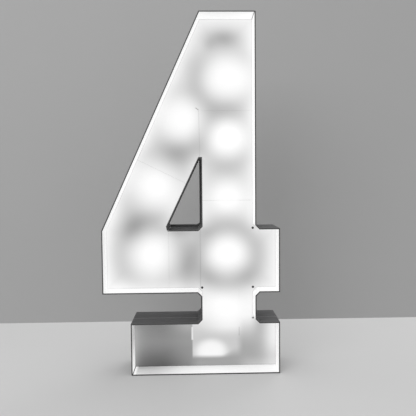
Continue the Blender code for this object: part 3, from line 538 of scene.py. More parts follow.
face = {
    # a darker grey than the whitish sheet, so that the painted light sets how bright the face looks
    "base": 0.25,
    "baseLight": 0.23,       # what the studio light alone gives the face
    "plainGlow": 0.76,
    "lampFalloff": 2.3,
    "ringWidth": 0.043,
    "lamps": {               # bulb: power, reach, ring radius, ring depth
        2: (0.24, 0.077, 0.133, 0.11), 3: (0.32, 0.085, 0.098, 0.26),
        4: (0.50, 0.065, 0.140, 0.03), 5: (0.31, 0.120, 0.085, 0.24),
        6: (0.23, 0.120, 0.101, 0.20), 7: (0.20, 0.120, 0.095, 0.15),
        8: (0.24, 0.067, 0.117, 0.12), 9: (0.26, 0.067, 0.111, 0.16),
    },
    "shades": [              # x, z, half width, half height, depth
        (0.114, 1.136, 0.062, 0.032, 0.31), (0.015, 1.014, 0.050, 0.074, 0.11),
        (-0.022, 0.745, 0.076, 0.053, 0.27), (0.122, 0.641, 0.088, 0.075, 0.33),
        (-0.204, 0.491, 0.047, 0.049, 0.20), (-0.028, 0.478, 0.072, 0.020, 0.20),
        (-0.014, 0.329, 0.034, 0.069, 0.16), (0.113, 0.916, 0.076, 0.052, 0.15),
        (0.066, 1.112, 0.022, 0.024, 0.09), (0.100, 0.235, 0.060, 0.040, -0.05),
    ],
    "wallGlow": (-0.16, -0.02, 0.195, 0.135),  # from x to x, and its strength there
    "wallReach": 0.033,
    "wallFalloff": 1.4,
    "seamWidth": 0.0011,
    "contactWidth": 0.0015,  # the thin shadow where the face meets the walls
    "contactDepth": 0.21,
    "brightFade": (1.0, 0.85, 0.3, 1.0),  # how far lines drown in bright light
    "footStart": (0.26, 0.19),
    "legGapShadow": (0.94, 0.74, 0.34),  # heights and depth of the painted shadow in the gap along the leaning wall
    "legSeam": 0.10,
    "stemTopSeam": (0.213, 0.05),  # end x and depth
    "stemFootSeams": [(0.039, 0.080, 0.08), (0.165, 0.205, 0.08)],  # x, x and depth
    "uprightSeams": [(0.0305, 0.280, 0.487, 0.22), (-0.0785, 0.310, 0.475, 0.05)],
    "boardShadows": [(0.224, 0.274, 0.06), (0.110, 0.139, 0.32)],  # painted shadows of the channel board behind the sheet: z, z and depth
    "rim": (0.0042, 0.0036),  # the covered rim, which would light the joint beside it
    "rimLight": 0.02,
    "grain": (700.0, 2.0),
    "grainLow": 0.985,
    "grainRange": 0.03,
}

footLight = {
    "dull": 0.105,           # the left part, which no lamp stands in
    "dullRise": (0.0, 0.10, 0.0, 0.18),  # a ramp: from, to and its values there
    "leftWall": (0.22, 0.022),  # power and reach
    "leftWallFade": (0.17, 0.12, 0.5, 1.0),
    "besideBoard": 0.11,     # how far left the channel's light reaches
    "towardsBoard": 0.115,
    "towardsBoardFade": (0.03, 0.08, 1.0, 0.50),
    "boardTop": 0.15,
    "boardTopFade": (0.10, 0.16),
    "right": 0.34,
    "rightRise": (0.03, 0.13, 0.0, 0.04),
    "rightPast": (0.13, 0.19, 0.0, 0.045),  # the part beyond the channel
    "rightFloor": 0.10,
    "rightFloorFade": (0.045, 0.0),
    "rightFloorStart": (0.15, 0.21),
    "rightWall": (0.46, 0.042),
    "rightWallFade": (0.0, 0.11, 0.48, 1.0),
    "sides": (0.02, 0.03),   # the step from left to right, before and past the board
    "leftEdge": (0.002, 0.003),
    "rightEdge": (-0.018, -0.013),
    "channel": 0.60,
    "channelEdge": (0.006, 0.012),  # under and over the floor board's top
    "channelSlope": (0.10, 0.16, 0.0, 0.03),
    "takeOver": (0.093, 0.145),  # where the light of the stem's lamps takes over
    "besideTakeOver": (0.062, 0.185),
    "besideEnd": (0.25, 0.20),
    "dome": {"Centre": (0.066, 0, 0.055), "Size": (0.055, 1, 0.042), "Falloff": 5.0,
             "Power": 0.34},
    "bar": 0.80,             # light beside the left board
    "barHeight": (0.096, 0.1415),
    "barWidth": 0.003,
    "barSoft": (0.001, 0.002),  # softness of its sides and ends
}


def boardMiddle(side):
    low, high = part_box("channel_" + side + "_board")
    return (low.x + high.x) / 2


def footGlow(x, z, place, upper):
    # a dull left part, the channel that the lowest lamp lights, and a right part lit by its wall
    foot = footLight
    leftBoard, rightBoard = boardMiddle("left"), boardMiddle("right")
    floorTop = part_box("channel_floor_board")[1].z
    leftEnd, rightEnd = (figure["outline"][i][0] for i in (0, 1))
    power, reach = foot["leftWall"]
    away = minus(x, leftEnd + figure["sheet"])
    leftWall = product(fallOff(away, reach), power, rise(z, *foot["leftWallFade"]))
    nearBoard = rise(x, leftBoard - foot["besideBoard"], leftBoard)
    left = addUp(
        foot["dull"], rise(z, *foot["dullRise"]), leftWall,
        product(nearBoard, rise(z, *foot["towardsBoardFade"]), foot["towardsBoard"]),
        product(nearBoard, rise(z, *foot["boardTopFade"]), foot["boardTop"]))
    power, reach = foot["rightWall"]
    away = apart(rightEnd - figure["sheet"], x)
    right = addUp(
        foot["right"], rise(z, *foot["rightRise"]), rise(x, *foot["rightPast"]),
        product(rise(z, *foot["rightFloorFade"]), rise(x, *foot["rightFloorStart"]),
                foot["rightFloor"]),
        product(fallOff(away, reach, 2.0), power, rise(z, *foot["rightWallFade"])))
    glow = towards(left, right, stepAt(x, leftBoard, *foot["sides"]))
    dome = placeGroup(softSpot, Place=place, **foot["dome"])["Light"]
    pastLeft = stepAt(x, leftBoard, *foot["leftEdge"])
    beforeRight = stepAt(x, rightBoard, *foot["rightEdge"])
    under, over = foot["channelEdge"]
    softTop = addUp(floorTop + over, rise(x, *foot["channelSlope"]))
    inChannel = product(pastLeft, beforeRight, rise(z, floorTop - under, softTop))
    glow = towards(glow, addUp(foot["channel"], dome), inChannel)
    beside = product(rise(z, *foot["besideTakeOver"]), rise(x, *foot["besideEnd"]))
    taken = towards(beside, rise(z, *foot["takeOver"]), beforeRight)
    glow = towards(glow, upper, product(pastLeft, taken))
    (sideSoft, endSoft), (bottom, top) = foot["barSoft"], foot["barHeight"]
    offBoard = apart(x, leftBoard)
    bar = product(stepAt(offBoard, foot["barWidth"], -sideSoft, -sideSoft),
                  stepAt(z, bottom, endSoft, endSoft), stepAt(z, top, -endSoft, -endSoft))
    return towards(glow, foot["bar"], bar)


def besideLeg(z):
    # the point at height z where the face meets the leaning wall of the leg
    (topX, topZ), (kneeX, kneeZ) = figure["outline"][figure["legSide"]]
    run, drop = topX - kneeX, topZ - kneeZ
    inset = figure["sheet"] * math.hypot(run, drop) / drop
    return topX - (topZ - z) * run / drop + inset, z


def faceSeamsAndShadows():
    # start x, z, end x, z and depth: the butted seams, the painted shadow in the gap along the
    # leaning wall, and the painted shadows of the board behind the sheet
    low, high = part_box("diffuser_stem_sheet")
    (rightX, apexZ), (leftX, _) = figure["hole"][3:5]
    board = boardMiddle("right")
    top, bottom, gapDepth = face["legGapShadow"]
    endX, topDepth = face["stemTopSeam"]
    seamsAndShadows = [
        (*besideLeg(top), *besideLeg(bottom), gapDepth),
        (low.x, high.z, (leftX + rightX) / 2, apexZ, face["legSeam"]),
        (low.x, high.z, endX, high.z, topDepth),
    ]
    seamsAndShadows += [(start, low.z, end, low.z, depth) for start, end, depth in face["stemFootSeams"]]
    seamsAndShadows += [(x, start, x, end, depth) for x, start, end, depth in face["uprightSeams"]]
    return seamsAndShadows + [(board, start, board, end, depth) for start, end, depth in face["boardShadows"]]


def lineFrom(place, startX, startZ, endX, endZ):
    return placeGroup(lineDistance, Place=place, Start=(startX, 0, startZ),
                      End=(endX, 0, endZ))["Distance"]


def lampLights(place):
    lights = []
    for number, (power, reach, ringRadius, ringDepth) in face["lamps"].items():
        low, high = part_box("bulb_%d" % number)
        lights.append(placeGroup(
            lampGlow, Place=place, Lamp=(low + high) / 2, Reach=reach,
            Falloff=face["lampFalloff"], Power=power, RingRadius=ringRadius,
            RingWidth=face["ringWidth"], RingDepth=ringDepth)["Light"])
    for shadeX, shadeZ, width, height, depth in face["shades"]:
        lights.append(placeGroup(softSpot, Place=place, Centre=(shadeX, 0, shadeZ),
                                 Size=(width, 1, height), Falloff=2.0, Power=-depth)["Light"])
    return lights


def toEdge(place):
    # distance to the outline or to the hole's, whichever is nearer
    nearest = None
    for points in (figure["outline"], figure["hole"]):
        for start, end in zip([points[-1]] + points, points):
            away = lineFrom(place, *start, *end)
            nearest = away if nearest is None else calc("MINIMUM", nearest, away)
    return nearest


def makeLitFace():
    material, shader, place = startMaterial("litFace", roughness=0.42)
    parts = axisParts(place)
    x, z = parts["X"], parts["Z"]
    edge = toEdge(place)
    nearest = apart(edge, figure["sheet"])
    wall = product(fallOff(nearest, face["wallReach"], face["wallFalloff"]),
                   rise(x, *face["wallGlow"]))
    upper = addUp(face["plainGlow"], wall, *lampLights(place))
    upper = calc("MINIMUM", upper, 1.0)
    glow = towards(upper, footGlow(x, z, place, upper), rise(z, *face["footStart"]))
    dark = product(fallOff(nearest, face["contactWidth"], 2.0), face["contactDepth"])
    # seam lines, and painted shadow lines of the gap and the board
    for *ends, depth in faceSeamsAndShadows():
        line = fallOff(lineFrom(place, *ends), face["seamWidth"], 2.0)
        dark = calc("MAXIMUM", dark, product(line, depth))
    dark = product(dark, rise(glow, *face["brightFade"]))
    glow = product(glow, minus(1.0, dark))
    grain = noise(place, *face["grain"])
    glow = product(glow, addUp(face["grainLow"], product(grain, face["grainRange"])))
    # the studio light gives the face its first part, and the lamps what is over that; where the
    # painted glow is less than that first part, the base colour is darkened as painted shade
    lit = calc("DIVIDE", glow, face["baseLight"], clamp=True)
    glow = calc("SUBTRACT", glow, face["baseLight"], clamp=True)
    glow = towards(glow, face["rimLight"], rise(edge, *face["rim"]))
    feedAll(shader.inputs, {
        "Base Color": grey(product(lit, face["base"])), "Emission Color": grey(glow),
        "Emission Strength": 1.0})
    bump(shader, grain, 0.06, 0.0004)
    return material


litFace = makeLitFace()
for name in ("top", "stem", "leg", "crossbar", "foot"):
    sheet = nodes["diffuser_" + name + "_sheet"]
    sheet.material_slots[0].material = litFace
print("face lit")


# Finishes

visorLight = {
    "upperLift": (0.45, 0.55, 0.0, 0.075),  # what the walls above the crossbar get over the others
    "footTop": (0.170, 0.160),
    "dullFloor": 0.78,       # how much less light the floor of the foot's dull part gets
    "dullSide": (-0.02, -0.15),
    "wallSide": (-0.185, -0.198),  # from the floor's end to the foot's left wall
    "wallLight": (0.03, 0.13, 1.45, 0.43),  # share of light on that wall, low and high
    "mitres": [(-0.200, 0.004, 0.92), (0.213, 1.196, 0.45)],  # open ones, darkened as painted shade: x, z, how dark
    "mitreSize": (0.0024, 1, 0.0024),
    "mitreFalloff": 4.0,
}


def addFaceLight(shader, place, colour, glow):
    # the visor's inner faces pick up the light of the face, less beside its dull part, with painted
    # shade at the open mitres
    parts = axisParts(place)
    x, z = parts["X"], parts["Z"]
    light = rise(parts["Y"], figure["frontY"], figure["faceY"], *glow)
    light = addUp(light, rise(z, *visorLight["upperLift"]))
    inFoot = rise(z, *visorLight["footTop"])
    dull = product(inFoot, rise(x, *visorLight["dullSide"]),
                   rise(x, *visorLight["wallSide"][::-1]), visorLight["dullFloor"])
    onWall = product(inFoot, rise(x, *visorLight["wallSide"]))
    share = towards(minus(1.0, dull), rise(z, *visorLight["wallLight"]), onWall)
    clearOfMitreShade = 1.0
    for mitreX, mitreZ, depth in visorLight["mitres"]:
        mitreShade = placeGroup(softSpot, Place=place, Centre=(mitreX, 0, mitreZ),
                         Size=visorLight["mitreSize"], Falloff=visorLight["mitreFalloff"],
                         Power=depth)["Light"]
        clearOfMitreShade = minus(clearOfMitreShade, mitreShade)
    feedAll(shader.inputs, {
        "Base Color": vectorCalc("MULTIPLY", colour, clearOfMitreShade),
        "Emission Color": grey(product(light, share, clearOfMitreShade)),
        "Emission Strength": 1.0})


def coat(shader, made, strength, distance):
    feedAll(shader.inputs, {"Base Color": made["Colour"], "Roughness": made["Roughness"]})
    bump(shader, made["Height"], strength, distance)


def sheetFinish(name, colour, clouding, dust, glow=None, specular=0.5):
    material, shader, place = startMaterial(name)
    shader.inputs["Specular IOR Level"].default_value = specular
    made = placeGroup(paintedSheet, Place=place, Colour=(*colour, 1),
                      Dust=(0.33, 0.31, 0.29, 1), Clouding=clouding, DustAmount=dust)
    coat(shader, made, 0.12, 0.0004)
    if glow:
        addFaceLight(shader, place, made["Colour"], glow)
    return material


def plasticFinish(name, colour, rubbed, amount=0.3, grain=0.15):
    material, shader, place = startMaterial(name)
    made = placeGroup(mouldedPlastic, Place=place, Colour=(*colour, 1),
                      Rubbed=(*rubbed, 1), Amount=amount)
    coat(shader, made, grain, 0.0001)
    return material


def metalFinish(name, colour, dull):
    material, shader, place = startMaterial(name, metallic=1.0)
    made = placeGroup(brushedMetal, Place=place, Stretch=(300, 300, 2600),
                      Colour=(*colour, 1), Dull=(*dull, 1))
    coat(shader, made, 0.08, 0.0002)
    return material


def woodFinish():
    material, shader, place = startMaterial("battenWood", roughness=0.7)
    rings = noise(vectorCalc("MULTIPLY", place, (6.0, 130.0, 130.0)), 1.0, 4.0, 0.6)
    pores = noise(vectorCalc("MULTIPLY", place, (60, 1600, 1600)), 1.0)
    wood = tint((0.60, 0.42, 0.24, 1), (0.36, 0.22, 0.11, 1), rise(rings, 0.38, 0.66))
    wood = tint(wood, (0.20, 0.12, 0.06, 1), product(rise(pores, 0.6, 0.7), 0.5))
    feed(shader.inputs["Base Color"], wood)
    bump(shader, rings, 0.25, 0.0006)
    return material


def boardFinish():
    material, shader, place = startMaterial("circuitGreen", roughness=0.32)
    tracks = nodeBeside("ShaderNodeTexBrick", place)
    flat = vectorCalc("MULTIPLY", place, inPlane)
    feedAll(tracks.inputs, {"Vector": flat, "Scale": 260.0})
    green = tint((0.012, 0.14, 0.06, 1), (0.03, 0.22, 0.10, 1), tracks.outputs["Fac"])
    dots = nodeBeside("ShaderNodeTexVoronoi", place)
    feedAll(dots.inputs, {"Vector": place, "Scale": 300.0})
    solder = rise(dots.outputs["Distance"], 0.22, 0.16)
    feed(shader.inputs["Base Color"], tint(green, (0.62, 0.62, 0.60, 1), solder))
    return material


def windingFinish():
    material, shader, place = startMaterial("copperWinding", roughness=0.35, metallic=1.0)
    turns = calc("SINE", product(axisParts(place)["Z"], 9000.0))
    copper = tint((0.55, 0.22, 0.09, 1), (0.80, 0.42, 0.22, 1), rise(turns, -1.0, 1.0))
    feed(shader.inputs["Base Color"], copper)
    bump(shader, turns, 0.4, 0.0002)
    return material


def bulbFinish():
    material, shader, place = startMaterial("frostedBulb", roughness=0.35)
    etched = noise(place, 900.0, 2.0)
    feedAll(shader.inputs, {
        "Base Color": tint((0.86, 0.85, 0.83, 1), (0.93, 0.92, 0.90, 1), etched),
        "Emission Color": tint((1.0, 0.97, 0.92, 1), (0.92, 0.90, 0.86, 1), etched),
        "Emission Strength": 1.6})
    bump(shader, etched, 0.1, 0.0002)
    return material


finishes = {material.name: material for material in (
    sheetFinish("coatedInside", (0.72, 0.72, 0.72), 0.05, 0.06, glow=(0.31, 0.35)),
    # painted shade: the white sheet's outer faces get a dark grey for the shade on them
    sheetFinish("shadedOutsideCoat", (0.120, 0.120, 0.122), 0.14, 0.16, specular=0.12),
    # painted shade: the cut edges are near black for the shadow along them
    sheetFinish("shadedCutEdge", (0.050, 0.050, 0.050), 0.20, 0.10),
    sheetFinish("boxInside", (0.80, 0.80, 0.79), 0.06, 0.15),
    sheetFinish("backCoating", (0.56, 0.56, 0.555), 0.12, 0.14),
    sheetFinish("innerBoard", (0.76, 0.76, 0.74), 0.10, 0.15),
    woodFinish(),
    plasticFinish("holderPlastic", (0.055, 0.055, 0.058), (0.15, 0.15, 0.15)),
    plasticFinish("blackPlastic", (0.020, 0.020, 0.021), (0.10, 0.10, 0.10)),
    plasticFinish("knobPlastic", (0.74, 0.74, 0.73), (0.55, 0.55, 0.53), 0.25),
    plasticFinish("leadJacket", (0.78, 0.78, 0.77), (0.58, 0.57, 0.55), 0.3),
    plasticFinish("magnetRubber", (0.045, 0.040, 0.038), (0.11, 0.10, 0.09), 0.5, 0.4),
    plasticFinish("edgingRubber", (0.21, 0.21, 0.212), (0.28, 0.28, 0.28), 0.4),
    plasticFinish("markPaint", (0.85, 0.85, 0.84), (0.70, 0.70, 0.68)),
    metalFinish("zincSteel", (0.66, 0.66, 0.67), (0.50, 0.50, 0.51)),
    metalFinish("capNickel", (0.72, 0.70, 0.66), (0.56, 0.54, 0.50)),
    boardFinish(),
    windingFinish(),
    bulbFinish(),
)}
print("finishes made:", len(finishes))

plainNodes = {
    "backCoating": ["back_panel_lower", "back_panel_upper", "hatch_door"],
    "innerBoard": ["channel_left_board", "channel_right_board", "channel_floor_board"],
    "battenWood": ["foot_batten", "top_batten"],
    "zincSteel": ["splice_plate_leg", "splice_plate_stem", "hatch_strike", "hatch_fixed_leaf",
                  "hatch_door_leaf", "hatch_hinge_pin", "power_inlet_nut"],
    "leadJacket": ["lamp_lead", "switch_lead", "inlet_lead"],
    "magnetRubber": ["hatch_magnet"],
    "circuitGreen": ["driver_board"],
    "blackPlastic": ["power_inlet"],
}
for finish, names in plainNodes.items():
    for name in names:
        nodes[name].material_slots[0].material = finishes[finish]


# Folded strips, with eased folds, and painted shade on their outer faces and cut edges

strips = {
    "edge": 0.0005,
    "names": ["visor_right_strip", "visor_left_strip", "visor_hole_strip",
              "wall_right_strip", "wall_left_strip", "wall_hole_strip"],
    "testReach": 0.012,
    "endOn": 0.75,           # how squarely a cut edge faces front or back
}


def finishStrips():
    for name in strips["names"]:
        item = fromNode(name, name.replace("_strip", "_sheet_folded"))
        roundEdges(item, strips["edge"], 2)
        inside = "coatedInside" if name.startswith("visor") else "boxInside"
        # inner faces, then outer faces and cut edges in dark greys as painted shade
        dress(item, inside, "shadedOutsideCoat", "shadedCutEdge", smooth=40)
        for part in item.data.polygons:
            if abs(part.normal.y) > strips["endOn"]:
                part.material_index = 2
                continue
            reach = part.center + part.normal * strips["testReach"]
            part.material_index = 0 if insideFigure(reach.x, reach.z) else 1
        own(item, "light_box", "white_sheet", name)


finishStrips()
print("strips folded")


# Rubber edging along the hole's floor and stem side, and push rivets in three relief holes

edging = {
    "depth": 0.006,
    "width": 0.005,
    "floorRise": 0.0025,     # how much higher it stands on the floor
    "intoTip": 0.0018,       # its square end runs on into the leaning sheet
    "bead": 0.0016,
    "beadEnd": (0.6, 0.0006),  # share of the radius, and length of the taper
    "beadSetBack": 0.001,
    "round": 0.0010,
    "probe": 0.001,          # how far in front of a face its side is looked for
    "half": 0.5,             # how squarely a face of the strip looks up or left
    "squarely": 0.9,         # the same for the finished edging
}
plug = {
    "profile": [(0.0028, -0.0045), (0.0036, -0.0038), (0.0036, 0.0), (0.0042, 0.0),
                (0.0042, 0.0003), (0.0036, 0.0007), (0.0018, 0.0009)],
    "places": {"neck_left": (0.036, 0.280), "neck_right": (0.213, 0.280),
               "arm_right": (0.213, 0.487)},
}


def facesHole(centre, normal):
    nearby, half = centre + normal * edging["probe"], edging["half"]
    upOrLeft = normal.z > half or normal.x < -half
    return upOrLeft and insidePoints(figure["hole"], nearby.x, nearby.z)


def makeEdging():
    item = fromNode("wall_hole_strip", "hole_edging")
    editAll(item)
    bpy.ops.mesh.bisect(plane_co=(0, figure["backY"] - edging["depth"], 0), plane_no=backward,
                        clear_inner=True)
    pickFaces(item, facesHole)
    bpy.ops.mesh.select_all(action="INVERT")
    bpy.ops.mesh.delete(type="FACE")
    stopEdit()
    modify(item, "SOLIDIFY", thickness=edging["width"], offset=1.0, use_even_offset=True)
    pickFaces(item, lambda centre, normal: normal.z > edging["squarely"])
    bpy.ops.transform.translate(value=(0, 0, edging["floorRise"]))
    pickFaces(item, lambda centre, normal: normal.x < -edging["squarely"] and centre.x < 0)
    bpy.ops.transform.translate(value=(-edging["intoTip"], 0, 0))
    stopEdit()
    roundEdges(item, edging["round"], 3)
    dress(item, "edgingRubber", smooth=50)
    own(item, "light_box", "black_plastic")


def makeBead():
    # the bead of sealant that closes the joint of the hole's strips
    x, z = figure["hole"][0]
    radius, (share, taper) = edging["bead"], edging["beadEnd"]
    setBack = edging["beadSetBack"]
    length = figure["backY"] - figure["frontY"] - 2 * setBack
    bead = turned("hole_sealant", [(radius * share, 0.0), (radius, taper),
                                   (radius, length - taper), (radius * share, length)], 16)
    dress(bead, "edgingRubber", smooth=50)
    bead.data.transform(facing(backward, (x, figure["frontY"] + setBack, z)))
    own(bead, "light_box", "black_plastic")


def makePlugs():
    rivet = turned("pushRivet", plug["profile"], 32)
    dress(rivet, "blackPlastic", smooth=40)
    for name, (x, z) in plug["places"].items():
        fit(rivet, "face_rivet_" + name, forward, (x, figure["faceY"], z), "light_box",
            "black_plastic")
    discard(rivet)


makeEdging()
makeBead()
makePlugs()
print("edging and face rivets fitted")


# Lamp holders and bulbs

holder = {
    "profile": [(0.0170, 0.0), (0.0170, 0.0022), (0.0163, 0.0030), (0.0132, 0.0030),
                (0.0120, 0.0042), (0.0120, 0.0070), (0.0112, 0.0076), (0.0112, 0.0086),
                (0.0120, 0.0092), (0.0120, 0.0118), (0.0112, 0.0124), (0.0112, 0.0134),
                (0.0120, 0.0140), (0.0120, 0.0192), (0.0114, 0.0200), (0.0084, 0.0200),
                (0.0078, 0.0194), (0.0078, 0.0060)],
    "screwAt": 0.0146,
    "screwHeight": 0.0029,
    "screwShare": 0.42,      # of a back screw's head
}
bulb = {
    "globe": 0.0185,
    "neck": 0.0078,
    "rings": 14,
    "collar": (0.0012, 0.0030),
    "neckHeight": 0.0043,
    "tip": 0.0004,
    "contact": [(0.0022, 0.0), (0.0026, 0.0006), (0.0044, 0.0009), (0.0058, 0.0018)],
    "threadStart": 0.0022,
    "threadEnd": 0.0012,
    "lip": 0.0006,
    "capTurns": 5,
    "capRadius": 0.0070,
    "capRoot": 0.0063,
}
screw = {
    "head": [(0.0040, 0.0), (0.0040, 0.0006), (0.0036, 0.0013), (0.0026, 0.0019), (0.0010, 0.0020)],
    "crossLength": 0.0036,
    "crossWidth": 0.0008,
    "crossDepth": 0.0011,
    "cutterRise": 0.001,
    "cutterEdge": 0.0001,
    "shank": [(0.0004, -0.0168), (0.0015, -0.0140), (0.0016, 0.0002)],
    "turnStep": 0.6,         # each screw stopped at another angle
}


def makeScrewHead():
    # a pan head with a cross recess, its underside at z = 0
    head = turned("screwHead", screw["head"], 32)
    high = screw["head"][-1][1]
    for along in (0, 1):
        size = [screw["crossLength"] / 2, screw["crossWidth"] / 2]
        halfX, halfY = size if along else size[::-1]
        cutter = block("crossCutter", (-halfX, -halfY, high - screw["crossDepth"]),
                       (halfX, halfY, high + screw["cutterRise"]), screw["cutterEdge"], 1)
        modify(head, "BOOLEAN", operation="DIFFERENCE", solver="EXACT", object=cutter)
        discard(cutter)
    dress(head, "zincSteel", smooth=30)
    return head


screwHead = makeScrewHead()


def screwAt(direction, point, share, turn=0.0):
    # a smaller screw's head, turned on its axis
    return copied(screwHead, "head", facing(direction, point) @ Matrix.Rotation(turn, 4, "Z")
                  @ Matrix.Diagonal((share, share, share, 1)))


def makeHolder():
    barrel = turned("holderBarrel", holder["profile"], 40)
    dress(barrel, "holderPlastic", smooth=32)
    reach, height = holder["screwAt"], holder["screwHeight"]
    heads = [screwAt((0, 0, 1), (x, 0, height), holder["screwShare"]) for x in (-reach, reach)]
    return joined([barrel] + heads, "lampHolder")


def globeProfile():
    radius, neck, tip = bulb["globe"], bulb["neck"], bulb["tip"]
    start = math.asin(neck / radius)
    points = [(neck - tip, 0.0)] + [(neck, height) for height in bulb["collar"]]
    centre = bulb["neckHeight"] + radius * math.cos(start)
    for i in range(bulb["rings"]):
        angle = start + (math.pi - start) * i / bulb["rings"]
        points.append((radius * math.sin(angle), centre - radius * math.cos(angle)))
    points.append((tip, centre + radius))
    return points


def capProfile(length):
    # foil contact, insulator and a rolled thread
    points = list(bulb["contact"])
    root, crest = bulb["capRoot"], bulb["capRadius"]
    pitch = (length - bulb["threadStart"] - bulb["threadEnd"]) / bulb["capTurns"]
    for i in range(bulb["capTurns"]):
        start = bulb["threadStart"] + i * pitch
        points += [(root, start), (crest, start + pitch * 0.5)]
    return points + [(root, length - bulb["threadEnd"]), (crest, length - bulb["lip"]),
                     (crest, length)]


def makeLamps():
    base = makeHolder()
    low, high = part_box("bulb_1")
    globe = turned("bulbGlobe", globeProfile(), 40)
    dress(globe, "frostedBulb", smooth=50)
    capLength = high.y - low.y - max(vertex.co.z for vertex in globe.data.vertices)
    cap = turned("bulbCap", capProfile(capLength), 32)
    dress(cap, "capNickel", smooth=50)
    for number in range(1, 10):
        low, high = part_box("lamp_holder_%d" % number)
        middle = (low + high) / 2
        fit(base, "holder_fitted_%d" % number, forward, (middle.x, high.y, middle.z),
            "light_box", "holder_plastic", "lamp_holder_%d" % number)
        low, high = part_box("bulb_%d" % number)
        fit(cap, "bulb_cap_%d" % number, forward, (middle.x, high.y, middle.z),
            "light_box", "zinc_steel")
        fit(globe, "bulb_globe_%d" % number, forward, (middle.x, high.y - capLength, middle.z),
            "light_box", "frosted_glass", "bulb_%d" % number)
    discard(base, globe, cap)


makeLamps()
print("lamps fitted")


# Screws that hold the back panel to the battens

def makeBackScrews():
    shank = turned("shank", screw["shank"], 16)
    dress(shank, "zincSteel")
    whole = joined([copied(screwHead, "backHead", Matrix.Identity(4)), shank], "backScrew")
    for number in range(1, 5):
        low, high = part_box("back_screw_%d" % number)
        middle = (low + high) / 2
        spun = Matrix.Rotation(screw["turnStep"] * number, 4, "Z")
        made = copied(whole, "back_screw_pan_%d" % number,
                      facing(backward, (middle.x, high.y - screw["head"][-1][1], middle.z)) @ spun)
        own(made, "light_box", "zinc_steel", "back_screw_%d" % number)
    discard(whole)


makeBackScrews()

# Hinge screws, and rivets through the splice plates

fixings = {
    "hingeScrewShare": 0.42,
    "fromLeafEdge": 0.0055,
    "leafRise": 0.0015,
    "hingeSpread": 0.030,
    "hingeTurn": (0.3, 0.8),  # of the middle screw, and the step to the next
    "rivet": [(0.0030, 0.0), (0.0030, 0.0003), (0.0025, 0.0009), (0.0014, 0.0012)],
    "rivetInset": 0.008,
}


def addHingeScrews():
    turn, turnStep = fixings["hingeTurn"]
    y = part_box("back_panel_lower")[1].y + fixings["leafRise"]
    for node, body in (("hatch_fixed_leaf", "light_box"), ("hatch_door_leaf", "hatch")):
        low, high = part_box(node)
        edge = fixings["fromLeafEdge"]
        x = low.x + edge if body == "light_box" else high.x - edge
        middle = (low.z + high.z) / 2
        heads = [screwAt(backward, (x, y, middle + step * fixings["hingeSpread"]),
                         fixings["hingeScrewShare"], turnStep * step + turn) for step in (-1, 0, 1)]
        own(joined(heads, "hinge_screws_" + body), body, "zinc_steel")


def addRivets():
    rivet = turned("rivet", fixings["rivet"], 24)
    dress(rivet, "backCoating", smooth=40)
    outer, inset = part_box("back_panel_lower")[1].y, fixings["rivetInset"]
    for side in ("leg", "stem"):
        low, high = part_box("splice_plate_" + side)
        heads = [copied(rivet, "head", facing(backward, (x, outer, z)))
                 for x in (low.x + inset, high.x - inset) for z in (low.z + inset, high.z - inset)]
        own(joined(heads, "splice_rivets_" + side), "light_box", "back_sheet")
    discard(rivet)


addHingeScrews()
addRivets()
print("fixings set")


# Hatch knob, with a fluted grip

knob = {
    "profile": [(0.0032, 0.0), (0.0032, 0.0030), (0.0050, 0.0034), (0.0058, 0.0040),
                (0.0060, 0.0046), (0.0060, 0.0056), (0.0056, 0.0064), (0.0046, 0.0069),
                (0.0030, 0.0070), (0.0008, 0.0067)],
    "flutes": 12,
    "fluteFrom": 0.0054,     # radius of the faces that are drawn in
    "fluteShare": 0.3,
    "fluteDepth": 0.95,      # share of the radius that is left
}


def isFlute(centre, normal):
    onSide = abs(normal.z) < 0.5 and centre.xy.length > knob["fluteFrom"]
    around = math.cos(math.atan2(centre.y, centre.x) * knob["flutes"])
    return onSide and around > knob["fluteShare"]


def makeKnob():
    low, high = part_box("hatch_knob")
    middle = (low + high) / 2
    item = turned("hatch_knob_fluted", knob["profile"], 48)
    editAll(item)
    pickFaces(item, isFlute)
    bpy.ops.transform.resize(value=(knob["fluteDepth"], knob["fluteDepth"], 1),
                             center_override=(0, 0, 0))
    stopEdit()
    dress(item, "knobPlastic", smooth=40)
    item.data.transform(facing(backward, (middle.x, low.y, middle.z)))
    own(item, "hatch", "knob_plastic", "hatch_knob")


makeKnob()


# Rocker switch, with its two generic marks

switch = {
    "rim": 0.0006,
    "rockerEdge": 0.0005,
    "outward": 0.8,          # how squarely a rocker's face looks back
    "markDepth": 0.00012,
    "barWidth": 0.0007,
    "barLength": 0.0030,
    "ringRadius": 0.0013,
    "ringWire": 0.00028,
    "ringFlat": 0.4,
}


